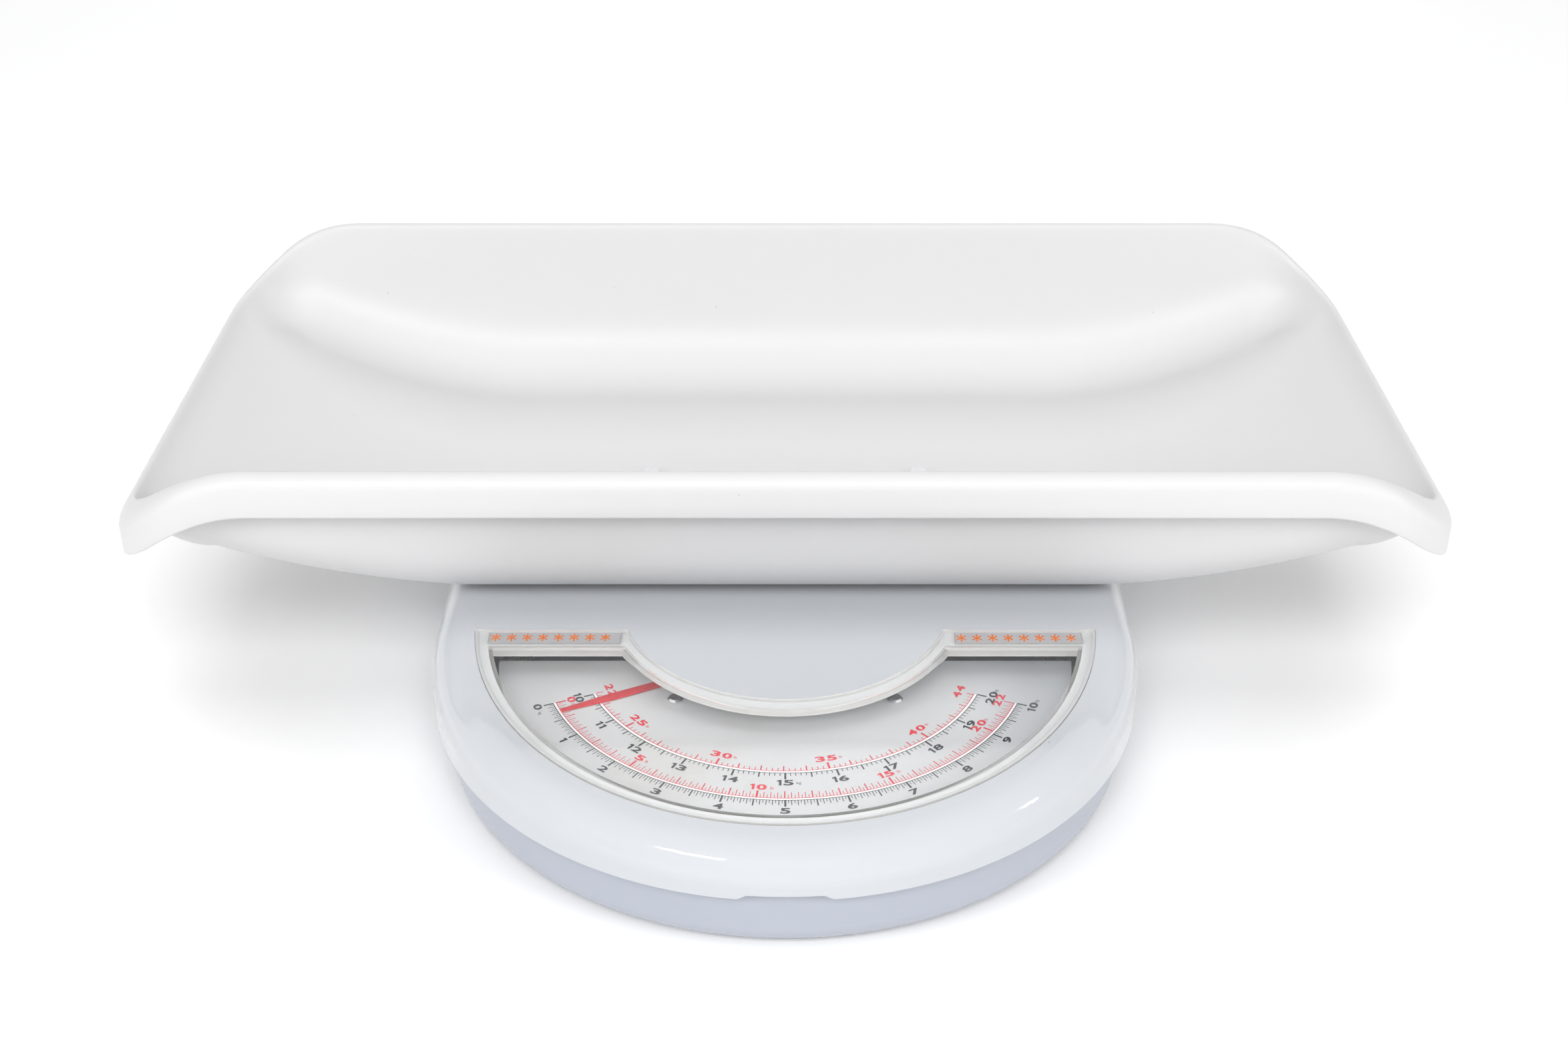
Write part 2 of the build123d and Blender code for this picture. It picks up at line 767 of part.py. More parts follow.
def coil_point(angle):
    """A point of the coil and its direction, for an angle in radians."""
    place = Vector(
        spring_radius * math.cos(angle),
        spring_radius * math.sin(angle),
        coil_low_z + coil_pitch * angle / math.tau,
    )
    way = Vector(
        -spring_radius * math.sin(angle), spring_radius * math.cos(angle), coil_pitch / math.tau
    )
    return place, way.normalized()


def main_spring(side, name):
    """One extension spring, swept as a single wire over quarter-turn arcs."""
    centre = Vector(side * spring_x, dial_y + spring_y, 0)
    quarter = math.pi / 2
    with BuildPart() as spring:
        with BuildLine():
            for step in range(4 * spring_turns):
                start, start_way = coil_point(step * quarter)
                end, end_way = coil_point((step + 1) * quarter)
                arc_pair(start + centre, start_way, end + centre, end_way)
        first, first_way = coil_point(0)
        with BuildSketch(Plane(origin=first + centre, z_dir=first_way)):
            RegularPolygon(spring_wire, spring_wire_sides)
        sweep()
    spring.part.label = name
    return spring.part


springs = [main_spring(-1, "main_spring_left"), main_spring(1, "main_spring_right")]
print("gap between the spring's turns", round(coil_pitch - 2 * spring_wire, 2))

# Adjusting screw, fixed in the hanger bar
with BuildPart() as adjusting_screw:
    with BuildSketch(level(wheel_z - wheel_thickness)):
        with Locations((0, wheel_y)):
            Circle(screw_radius)
    extrude(amount=hanger_z + hanger_thickness - wheel_z + wheel_thickness)
    with BuildSketch(level(hanger_z + hanger_thickness)):
        with Locations((0, wheel_y)):
            Circle(1.6 * screw_radius)
    extrude(amount=1.2)
adjusting_screw.part.label = "adjusting_screw"

# Zero wheel, a knurled nut on the adjusting screw
with BuildPart() as zero_wheel:
    with BuildSketch(level(wheel_z)):
        with Locations((0, wheel_y)):
            Circle(wheel_radius)
            Circle(screw_radius + pin_fit, mode=Mode.SUBTRACT)
            with PolarLocations(wheel_radius, wheel_grooves):
                Rectangle(wheel_groove, wheel_groove, rotation=45, mode=Mode.SUBTRACT)
    extrude(amount=wheel_thickness)
zero_wheel.part.label = "zero_wheel"

# Spring bracket: a bridge that carries the zero wheel
bridge_half = 15.0
bridge_depth = 6.0
bridge_top_z = wheel_z - seat_gap
with BuildPart() as spring_bracket:
    with BuildSketch(facing(wheel_y + bridge_depth / 4)):
        with Locations((0, (pan_floor_z + bridge_top_z) / 2)):
            Rectangle(2 * bridge_half, bridge_top_z - pan_floor_z)
        with Locations((0, (pan_floor_z + bridge_top_z) / 2 - bracket_sheet)):
            Rectangle(
                2 * (bridge_half - bracket_sheet), bridge_top_z - pan_floor_z, mode=Mode.SUBTRACT
            )
    extrude(amount=bridge_depth, both=True)
    with BuildSketch(level(bridge_top_z)):
        with Locations((0, wheel_y)):
            Circle(screw_radius + seat_gap)
    extrude(amount=-2 * bracket_sheet, mode=Mode.SUBTRACT)
    with BuildSketch(level(pan_floor_z)):
        Circle(2 * pan_radius)
        Circle(pan_radius - pan_wall - pan_rounding, mode=Mode.SUBTRACT)
    extrude(amount=pan_rounding, mode=Mode.SUBTRACT)
spring_bracket.part.label = "spring_bracket"


def crank_arm(length, angle):
    """One arm of the bell crank: a neck with a round finger tip, from the hub at the given angle."""
    tip = (crank_y + length * math.cos(math.radians(angle)), crank_z + length * math.sin(math.radians(angle)))
    middle = ((crank_y + tip[0]) / 2, (crank_z + tip[1]) / 2)
    with BuildSketch(upright(crank_x)) as arm:
        with Locations(Location(middle, angle)):
            Rectangle(length, crank_neck)
        with Locations(tip):
            Circle(crank_tip_radius)
    return arm.sketch


# Bell crank, shown with the tray empty
with BuildPart() as bell_crank:
    with BuildSketch(upright(crank_x)):
        with Locations((crank_y, crank_z)):
            Circle(crank_hub_radius)
    extrude(amount=crank_thickness / 2, both=True)
    extrude(crank_arm(crank_input_arm, 180 - crank_half_swing), amount=crank_thickness / 2, both=True)
    extrude(crank_arm(crank_output_arm, 90 - crank_half_swing), amount=crank_thickness / 2, both=True)
    with BuildSketch(upright(crank_x)):
        with Locations((crank_y, crank_z)):
            Circle(crank_pin_radius + pin_fit)
    extrude(amount=crank_thickness, both=True, mode=Mode.SUBTRACT)
bell_crank.part.label = "bell_crank"

# Crank bracket: two ears on a base
ear_gap = crank_thickness / 2 + seat_gap
ear_sheet = 1.2
ear_length = 9.0
with BuildPart() as crank_bracket:
    with BuildSketch(level(pan_floor_z)):
        with Locations((crank_x, crank_y)):
            Rectangle(2 * (ear_gap + ear_sheet), ear_length)
    extrude(amount=ear_sheet)
    for hand in (-1, 1):
        with BuildSketch(upright(crank_x + hand * (ear_gap + ear_sheet / 2))):
            with Locations((crank_y, (pan_floor_z + crank_z) / 2)):
                Rectangle(ear_length, crank_z - pan_floor_z)
            with Locations((crank_y, crank_z)):
                Circle(ear_length / 2)
                Circle(crank_pin_radius + pin_fit, mode=Mode.SUBTRACT)
        extrude(amount=ear_sheet / 2, both=True)
crank_bracket.part.label = "crank_bracket"

with BuildPart() as crank_pin:
    with BuildSketch(upright(crank_x - ear_gap - ear_sheet)):
        with Locations((crank_y, crank_z)):
            Circle(crank_pin_radius)
    extrude(amount=2 * (ear_gap + ear_sheet))
    for hand in (-1, 1):
        with BuildSketch(upright(crank_x + hand * (ear_gap + ear_sheet))):
            with Locations((crank_y, crank_z)):
                Circle(1.6 * crank_pin_radius)
        extrude(amount=hand * 0.8)
crank_pin.part.label = "crank_pin"

# Rack: teeth on its right edge mesh with the pinion, the crank's finger stands in its window
tooth_pitch = math.pi * tooth_module
flank = math.tan(math.radians(tooth_flank_angle))
finger_y = crank_y + crank_output_arm * math.sin(math.radians(crank_half_swing))
rack_front_y = finger_y - 3 * crank_tip_radius
rack_teeth = math.ceil((rack_travel + 4 * tooth_pitch) / tooth_pitch)
first_tooth_y = -2 * tooth_pitch
rack_back_y = first_tooth_y + (rack_teeth + 0.5) * tooth_pitch
with BuildPart() as rack:
    with BuildSketch(level(rack_z)):
        with Locations((crank_x, (rack_front_y + rack_back_y) / 2)):
            Rectangle(rack_width, rack_back_y - rack_front_y)
        for number in range(rack_teeth):
            middle_y = first_tooth_y + number * tooth_pitch
            root_half = tooth_width / 2 + tooth_dedendum * flank
            tip_half = tooth_width / 2 - tooth_addendum * flank
            tip_x = -pitch_radius + tooth_addendum
            with BuildLine():
                Polyline(
                    (tooth_root_x - 0.1, middle_y - root_half),
                    (tooth_root_x, middle_y - root_half),
                    (tip_x, middle_y - tip_half),
                    (tip_x, middle_y + tip_half),
                    (tooth_root_x, middle_y + root_half),
                    (tooth_root_x - 0.1, middle_y + root_half),
                    close=True,
                )
            make_face()
        with Locations((crank_x, finger_y)):
            Rectangle(
                crank_thickness + 2 * seat_gap, 2 * (crank_tip_radius + crank_tip_fit), mode=Mode.SUBTRACT
            )
    extrude(amount=rack_thickness / 2, both=True)
rack.part.label = "rack"

# Pinion with a tooth space facing the rack's first tooth
root_radius = pitch_radius - tooth_dedendum
tip_radius = pitch_radius + tooth_addendum
with BuildPart() as pinion:
    with BuildSketch(level(rack_z - pinion_face / 2)):
        Circle(root_radius)
        for number in range(pinion_teeth):
            angle = 180 + (number + 0.5) * 360 / pinion_teeth
            with BuildLine():
                root_half = tooth_width / 2 + tooth_dedendum * flank / 2
                tip_half = tooth_width / 2 - tooth_addendum * flank
                corners = [
                    (root_radius - 0.4, -root_half),
                    (pitch_radius, -tooth_width / 2),
                    (tip_radius, -tip_half),
                    (tip_radius, tip_half),
                    (pitch_radius, tooth_width / 2),
                    (root_radius - 0.4, root_half),
                ]
                turned = [Vector(x, y).rotate(Axis.Z, angle) for x, y in corners]
                Polyline(*turned, close=True)
            make_face()
        Circle(shaft_radius, mode=Mode.SUBTRACT)
    extrude(amount=pinion_face)
pinion.part.label = "pinion"

# Pinion shaft, from the floor bush up to the pointer hub
hub_height = 4.5
hub_radius = 4.5
pointer_thickness = 0.8
pointer_z = dial_z + 2.6
hand_root_width = 4.4
hand_belly_width = 5.6
hand_tip_width = 2.2
hand_tip_length = 22.0
hub_z = pointer_z - 2.0
with BuildPart() as pinion_shaft:
    with BuildSketch(level(pan_floor_z + 1)):
        Circle(shaft_radius)
    extrude(amount=hub_z + hub_height - pan_floor_z - 1)
pinion_shaft.part.label = "pinion_shaft"

hub_edge = 0.8
hub_washer = 1.5
hub_groove = 0.8
with BuildPart() as pointer_hub:
    with BuildSketch(level(hub_z)):
        Circle(hub_radius)
    extrude(amount=hub_height)
    chamfer(pointer_hub.faces().sort_by(Axis.Z)[-1].edges(), length=hub_edge)
    with BuildSketch(level(hub_z)):
        Circle(shaft_radius)
    extrude(amount=hub_height, mode=Mode.SUBTRACT)
    with BuildSketch(level(pointer_z)):
        Circle(hub_radius + 1)
        Circle(hub_radius - hub_groove, mode=Mode.SUBTRACT)
    extrude(amount=pointer_thickness, mode=Mode.SUBTRACT)
pointer_hub.part.label = "pointer_hub"


def needle(length, angle):
    """One hand from the hub's centre: it widens towards the scale and ends in a blunt tip."""
    belly = length - hand_tip_length
    with BuildSketch(level(pointer_z)) as hand:
        with BuildLine():
            corners = [
                (0, -hand_root_width / 2),
                (belly, -hand_belly_width / 2),
                (length, -hand_tip_width / 2),
                (length, hand_tip_width / 2),
                (belly, hand_belly_width / 2),
                (0, hand_root_width / 2),
            ]
            Polyline(*[Vector(x, y).rotate(Axis.Z, angle) for x, y in corners], close=True)
        make_face()
    return hand.sketch


# Pointer: a long hand for the outer scale and a short one, behind it, for the inner scale
with BuildPart() as pointer:
    with BuildSketch(level(pointer_z)):
        Circle(hub_radius + hub_washer)
    extrude(amount=pointer_thickness)
    extrude(needle(dial_radius - 1, pointer_rest_angle), amount=pointer_thickness)
    extrude(
        needle(inner_scale_radius - 1, pointer_rest_angle - dial_full_sweep / 2),
        amount=pointer_thickness,
    )
    with BuildSketch(level(pointer_z)):
        Circle(hub_radius - hub_groove)
    extrude(amount=pointer_thickness, mode=Mode.SUBTRACT)
pointer.part.label = "pointer"

# Pinion bracket: a bridge with the upper bush and the rack's guide
guide_half = 8.0
pinion_bridge_half = 17.0
pinion_bridge_top = rack_z - pinion_face / 2 - 1.0
with BuildPart() as pinion_bracket:
    with BuildSketch(facing(0)):
        with Locations((0, (pan_floor_z + pinion_bridge_top) / 2)):
            Rectangle(2 * pinion_bridge_half, pinion_bridge_top - pan_floor_z)
        with Locations((0, (pan_floor_z + pinion_bridge_top) / 2 - bracket_sheet)):
            Rectangle(
                2 * (pinion_bridge_half - bracket_sheet),
                pinion_bridge_top - pan_floor_z,
                mode=Mode.SUBTRACT,
            )
    extrude(amount=guide_half, both=True)
    shelf_z = rack_z - rack_thickness / 2 - rack_side_fit
    fence_x = rack_outer_x - rack_side_fit
    with BuildSketch(facing(0)):
        with BuildLine():
            Polyline(
                (fence_x - 2, pinion_bridge_top),
                (fence_x - 2, rack_z + rack_thickness),
                (fence_x, rack_z + rack_thickness),
                (fence_x, shelf_z),
                (crank_x, shelf_z),
                (crank_x, pinion_bridge_top),
                close=True,
            )
        make_face()
    extrude(amount=guide_half, both=True)
    with BuildSketch(level(pinion_bridge_top)):
        Circle(bush_radius)
    extrude(amount=-2 * bracket_sheet, mode=Mode.SUBTRACT)
pinion_bracket.part.label = "pinion_bracket"


def bush(z, height, name):
    """A plain bearing round the pinion shaft."""
    with BuildPart() as sleeve:
        with BuildSketch(level(z)):
            Circle(bush_radius)
            Circle(shaft_radius + pin_fit, mode=Mode.SUBTRACT)
        extrude(amount=height)
    sleeve.part.label = name
    return sleeve.part


bushes = [
    bush(pinion_bridge_top - 2 * bracket_sheet, 2 * bracket_sheet, "upper_bush"),
    bush(pan_floor_z, 5.0, "lower_bush"),
]

# Dial plate, posts and screws
dial_screw_places = ((-dial_screw_x, dial_screw_y), (dial_screw_x, dial_screw_y))
dial_screw_radius = 1.5
dial_screw_head = 3.1
dial_screw_head_height = 1.5
dial_screw_length = 9.0
dial_post_radius = 3.5
dial_post_bore = 10.0
with BuildPart() as dial_plate:
    with BuildSketch(level(dial_z)):
        Circle(dial_plate_radius)
        with Locations((0, dial_plate_back + dial_plate_radius)):
            Rectangle(3 * dial_plate_radius, 2 * dial_plate_radius, mode=Mode.SUBTRACT)
        with Locations(*dial_screw_places):
            Circle(dial_screw_radius + screw_fit, mode=Mode.SUBTRACT)
    extrude(amount=-dial_plate_thickness)
dial_plate.part.label = "dial_plate"

post_top_z = dial_z - dial_plate_thickness
with BuildPart() as dial_posts:
    with BuildSketch(level(pan_floor_z)):
        with Locations(*dial_screw_places):
            Circle(dial_post_radius)
    extrude(amount=post_top_z - pan_floor_z)
    with BuildSketch(level(post_top_z)):
        with Locations(*dial_screw_places):
            Circle(dial_screw_radius + pin_fit)
    extrude(amount=-dial_post_bore, mode=Mode.SUBTRACT)
dial_posts.part.label = "dial_posts"

with BuildPart() as dial_screws:
    with BuildSketch(level(dial_z)):
        with Locations(*dial_screw_places):
            Circle(dial_screw_head)
    extrude(amount=dial_screw_head_height)
    chamfer(dial_screws.faces().group_by(Axis.Z)[-1].edges(), length=dial_screw_head_height / 2)
    with BuildSketch(level(dial_z)):
        with Locations(*dial_screw_places):
            Circle(dial_screw_radius)
    extrude(amount=-dial_screw_length)
dial_screws.part.label = "dial_screws"

os.makedirs("parts", exist_ok=True)
finished = [
    base_pan.part, rubber_feet.part, fulcrum_stands.part, spring_bracket.part, hanger_bar.part,
    adjusting_screw.part, zero_wheel.part, crank_bracket.part, crank_pin.part, bell_crank.part,
    rack.part, pinion.part, pinion_shaft.part, pointer_hub.part, pointer.part, pinion_bracket.part,
    dial_plate.part, dial_posts.part, dial_screws.part, top_cover.part, lens.part, tray.part,
    seat_plate.part, platform_frame.part, tray_screws.part, load_posts.part, spring_plate.part,
]
for piece in finished + levers + springs + bushes:
    export_step(piece, f"parts/{piece.label}.step")

print("platform travel", travel, "nose drop", round(nose_drop, 3), "rack travel", round(rack_travel, 3))
print("crank swing", round(2 * crank_half_swing, 3), "crank at", round(dial_y + crank_y, 3), crank_z)
print("fulcrums at y", round(dial_y + fulcrum_back_y, 3), round(dial_y + fulcrum_front_y, 3))
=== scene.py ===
import json
import math

import bmesh
import bpy
from mathutils import Matrix, Vector


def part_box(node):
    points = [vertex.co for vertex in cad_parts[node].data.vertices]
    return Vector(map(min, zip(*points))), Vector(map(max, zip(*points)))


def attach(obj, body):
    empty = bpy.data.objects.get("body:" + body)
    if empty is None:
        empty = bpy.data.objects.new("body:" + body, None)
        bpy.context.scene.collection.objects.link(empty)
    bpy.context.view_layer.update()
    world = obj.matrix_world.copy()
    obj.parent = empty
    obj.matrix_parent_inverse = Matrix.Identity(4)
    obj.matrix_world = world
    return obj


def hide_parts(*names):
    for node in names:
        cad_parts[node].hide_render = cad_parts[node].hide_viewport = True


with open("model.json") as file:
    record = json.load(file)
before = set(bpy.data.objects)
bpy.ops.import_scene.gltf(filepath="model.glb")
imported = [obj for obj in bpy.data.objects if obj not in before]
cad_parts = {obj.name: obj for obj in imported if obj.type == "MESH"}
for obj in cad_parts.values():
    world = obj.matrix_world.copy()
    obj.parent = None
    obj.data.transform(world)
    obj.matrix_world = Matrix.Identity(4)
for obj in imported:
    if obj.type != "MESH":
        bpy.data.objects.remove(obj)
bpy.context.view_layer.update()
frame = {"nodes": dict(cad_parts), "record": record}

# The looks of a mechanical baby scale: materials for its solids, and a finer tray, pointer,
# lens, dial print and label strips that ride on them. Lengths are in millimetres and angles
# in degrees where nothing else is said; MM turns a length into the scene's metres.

MM = 0.001

# Where things are, read from the frame
DIAL_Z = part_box("dial_plate")[1].z
HUB_LOW, HUB_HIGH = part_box("pointer_hub")
DIAL_X = (HUB_LOW.x + HUB_HIGH.x) / 2
DIAL_Y = (HUB_LOW.y + HUB_HIGH.y) / 2
TRAY_LOW, TRAY_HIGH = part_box("tray")
TRAY_Y = (TRAY_LOW.y + TRAY_HIGH.y) / 2


# Materials

def new_material(name):
    """An empty node material with its output and one Principled shader."""
    material = bpy.data.materials.new(name)
    material.use_nodes = True
    tree = material.node_tree
    tree.nodes.clear()
    output = tree.nodes.new("ShaderNodeOutputMaterial")
    shader = tree.nodes.new("ShaderNodeBsdfPrincipled")
    tree.links.new(shader.outputs["BSDF"], output.inputs["Surface"])
    return material, tree, shader


def noise(tree, scale, detail=4.0, rough=0.55, stretch=None):
    """A noise pattern fixed to the object, at a scale in cycles a metre."""
    coords = tree.nodes.new("ShaderNodeTexCoord")
    node = tree.nodes.new("ShaderNodeTexNoise")
    node.inputs["Scale"].default_value = scale
    node.inputs["Detail"].default_value = detail
    node.inputs["Roughness"].default_value = rough
    if stretch:
        mapping = tree.nodes.new("ShaderNodeMapping")
        mapping.inputs["Scale"].default_value = stretch
        tree.links.new(coords.outputs["Object"], mapping.inputs["Vector"])
        tree.links.new(mapping.outputs["Vector"], node.inputs["Vector"])
    else:
        tree.links.new(coords.outputs["Object"], node.inputs["Vector"])
    return node


def ramp(tree, source, stops):
    """A colour ramp over a pattern's value; stops are (place, colour)."""
    node = tree.nodes.new("ShaderNodeValToRGB")
    tree.links.new(source, node.inputs["Fac"])
    elements = node.color_ramp.elements
    elements[0].position, elements[0].color = stops[0][0], (*stops[0][1], 1)
    elements[1].position, elements[1].color = stops[1][0], (*stops[1][1], 1)
    for place, colour in stops[2:]:
        element = elements.new(place)
        element.color = (*colour, 1)
    return node


def spread(tree, source, low, high):
    """The middle of a pattern's values mapped to a range of numbers."""
    node = tree.nodes.new("ShaderNodeMapRange")
    node.inputs["From Min"].default_value = 0.3
    node.inputs["From Max"].default_value = 0.7
    node.inputs["To Min"].default_value = low
    node.inputs["To Max"].default_value = high
    tree.links.new(source, node.inputs["Value"])
    return node


def bump(tree, shader, source, distance, strength):
    """Surface relief from a pattern, distance in metres."""
    node = tree.nodes.new("ShaderNodeBump")
    node.inputs["Distance"].default_value = distance
    node.inputs["Strength"].default_value = strength
    tree.links.new(source, node.inputs["Height"])
    tree.links.new(node.outputs["Normal"], shader.inputs["Normal"])


def multiply(tree, first, second, amount):
    """Two colours multiplied."""
    mix = tree.nodes.new("ShaderNodeMix")
    mix.data_type = "RGBA"
    mix.blend_type = "MULTIPLY"
    mix.inputs["Factor"].default_value = amount
    colours = [socket for socket in mix.inputs if socket.type == "RGBA"]
    tree.links.new(first, colours[0])
    tree.links.new(second, colours[1])
    return next(socket for socket in mix.outputs if socket.type == "RGBA")


def plastic(name, light, dark, rough_low, rough_high, coat=0.0):
    """Moulded plastic: faint clouding, a few specks, uneven polish, soft orange peel."""
    material, tree, shader = new_material(name)
    clouds = noise(tree, 2.5, detail=1.0)
    colour = ramp(tree, clouds.outputs["Fac"], [(0.25, dark), (0.75, light)])
    specks = tree.nodes.new("ShaderNodeTexVoronoi")
    specks.inputs["Scale"].default_value = 55.0
    coords = clouds.inputs["Vector"].links[0].from_socket
    tree.links.new(coords, specks.inputs["Vector"])
    dust = [(0.012, (0.6, 0.59, 0.57)), (0.02, (1, 1, 1))]
    dots = ramp(tree, specks.outputs["Distance"], dust)
    dusty = multiply(tree, colour.outputs["Color"], dots.outputs["Color"], 1.0)
    tree.links.new(dusty, shader.inputs["Base Color"])
    smudge = noise(tree, 26.0, detail=2.0)
    rough = spread(tree, smudge.outputs["Fac"], rough_low, rough_high)
    tree.links.new(rough.outputs["Result"], shader.inputs["Roughness"])
    peel = noise(tree, 700.0, detail=1.0)
    bump(tree, shader, peel.outputs["Fac"], distance=0.000002, strength=0.2)
    shader.inputs["Coat Weight"].default_value = coat
    shader.inputs["Coat Roughness"].default_value = 0.04
    return material


def metal(name, light, dark, rough_low, rough_high):
    """Plated or turned metal with a fine grain."""
    material, tree, shader = new_material(name)
    shader.inputs["Metallic"].default_value = 1.0
    grains = noise(tree, 900.0, detail=3.0, rough=0.6, stretch=(1, 1, 30))
    tint = ramp(tree, grains.outputs["Fac"], [(0.3, dark), (0.7, light)])
    tree.links.new(tint.outputs["Color"], shader.inputs["Base Color"])
    rough = spread(tree, grains.outputs["Fac"], rough_low, rough_high)
    tree.links.new(rough.outputs["Result"], shader.inputs["Roughness"])
    bump(tree, shader, grains.outputs["Fac"], distance=0.00001, strength=0.4)
    return material


# Painted light on the dial plate: the centre of its brighter patch from the dial's axis, and how
# far it reaches before the painted shade at its edges
PAINTED_LIGHT_X, PAINTED_LIGHT_Y, PAINTED_LIGHT_REACH = -30 * MM, -62 * MM, 140 * MM


def dial_metal():
    """The dial's satin sheet: fine scratches, faint stains and worn patches, with painted light
    at its middle and painted shade towards its edges.
    """
    material, tree, shader = new_material("dial_silver")
    shader.inputs["Metallic"].default_value = 0.12
    stains = noise(tree, 14.0, detail=6.0, rough=0.6)
    stained, plain, bright = (0.60, 0.588, 0.566), (0.65, 0.652, 0.656), (0.69, 0.692, 0.70)
    tones = [(0.28, stained), (0.45, plain), (0.75, bright)]
    colour = ramp(tree, stains.outputs["Fac"], tones)
    fine = noise(tree, 260.0, detail=8.0, rough=0.7, stretch=(6, 0.6, 1))
    scratch = ramp(tree, fine.outputs["Fac"], [(0.62, (1, 1, 1)), (0.7, (0.86, 0.86, 0.87))])
    coords = tree.nodes.new("ShaderNodeTexCoord")
    centring = tree.nodes.new("ShaderNodeMapping")
    centring.inputs["Scale"].default_value = (1 / PAINTED_LIGHT_REACH, 1 / PAINTED_LIGHT_REACH, 0)
    centring.inputs["Location"].default_value = (
        -(DIAL_X + PAINTED_LIGHT_X) / PAINTED_LIGHT_REACH, -(DIAL_Y + PAINTED_LIGHT_Y) / PAINTED_LIGHT_REACH, 0
    )
    tree.links.new(coords.outputs["Object"], centring.inputs["Vector"])
    # painted light and shade: brightest round a point in front of the axis, darker and bluer
    # further out towards the plate's rim
    painted_light_falloff = tree.nodes.new("ShaderNodeTexGradient")
    painted_light_falloff.gradient_type = "SPHERICAL"
    tree.links.new(centring.outputs["Vector"], painted_light_falloff.inputs["Vector"])
    painted_shade_tones = [(0.0, (0.8, 0.825, 0.86)), (0.25, (0.95, 0.955, 0.962)), (0.6, (1, 1, 1))]
    painted_shade = ramp(tree, painted_light_falloff.outputs["Fac"], painted_shade_tones)
    worn = multiply(tree, colour.outputs["Color"], scratch.outputs["Color"], 0.6)
    with_painted_shade = multiply(tree, worn, painted_shade.outputs["Color"], 1.0)
    tree.links.new(with_painted_shade, shader.inputs["Base Color"])
    rough = spread(tree, stains.outputs["Fac"], 0.34, 0.5)
    tree.links.new(rough.outputs["Result"], shader.inputs["Roughness"])
    bump(tree, shader, fine.outputs["Fac"], distance=0.00001, strength=0.5)
    return material


def clear_acrylic():
    """Polished acrylic with a few hairline marks; it lets the light through to the dial."""
    material, tree, shader = new_material("lens_clear")
    shader.inputs["Transmission Weight"].default_value = 1.0
    shader.inputs["IOR"].default_value = 1.49
    shader.inputs["Base Color"].default_value = (0.985, 0.99, 0.99, 1)
    marks = noise(tree, 40.0, detail=8.0, rough=0.7, stretch=(1, 7, 1))
    rough = spread(tree, marks.outputs["Fac"], 0.0, 0.03)
    tree.links.new(rough.outputs["Result"], shader.inputs["Roughness"])
    path = tree.nodes.new("ShaderNodeLightPath")
    clear = tree.nodes.new("ShaderNodeBsdfTransparent")
    clear.inputs["Color"].default_value = (0.995, 0.995, 0.995, 1)
    blend = tree.nodes.new("ShaderNodeMixShader")
    output = next(node for node in tree.nodes if node.type == "OUTPUT_MATERIAL")
    tree.links.new(path.outputs["Is Shadow Ray"], blend.inputs["Fac"])
    tree.links.new(shader.outputs["BSDF"], blend.inputs[1])
    tree.links.new(clear.outputs["BSDF"], blend.inputs[2])
    tree.links.new(blend.outputs["Shader"], output.inputs["Surface"])
    return material


def acrylic_edge():
    """The lens's moulded edges: the same acrylic, a little milky."""
    material = clear_acrylic()
    material.name = "lens_edge"
    nodes = material.node_tree.nodes
    shader = next(node for node in nodes if node.type == "BSDF_PRINCIPLED")
    shader.inputs["Base Color"].default_value = (0.76, 0.755, 0.74, 1)
    shader.inputs["Transmission Weight"].default_value = 0.6
    return material


def ink(name, colour):
    """Printing ink, slightly uneven."""
    material, tree, shader = new_material(name)
    grain = noise(tree, 700.0, detail=3.0)
    paler = tuple(min(1, part * 1.3 + 0.01) for part in colour)
    tint = ramp(tree, grain.outputs["Fac"], [(0.3, colour), (0.75, paler)])
    tree.links.new(tint.outputs["Color"], shader.inputs["Base Color"])
    shader.inputs["Roughness"].default_value = 0.5
    return material


def rubber(name, light, dark):
    """Dark rubber with a fine matt grain."""
    material, tree, shader = new_material(name)
    grain = noise(tree, 600.0, detail=4.0)
    tint = ramp(tree, grain.outputs["Fac"], [(0.3, dark), (0.7, light)])
    tree.links.new(tint.outputs["Color"], shader.inputs["Base Color"])
    shader.inputs["Roughness"].default_value = 0.8
    bump(tree, shader, grain.outputs["Fac"], distance=0.00005, strength=0.8)
    return material


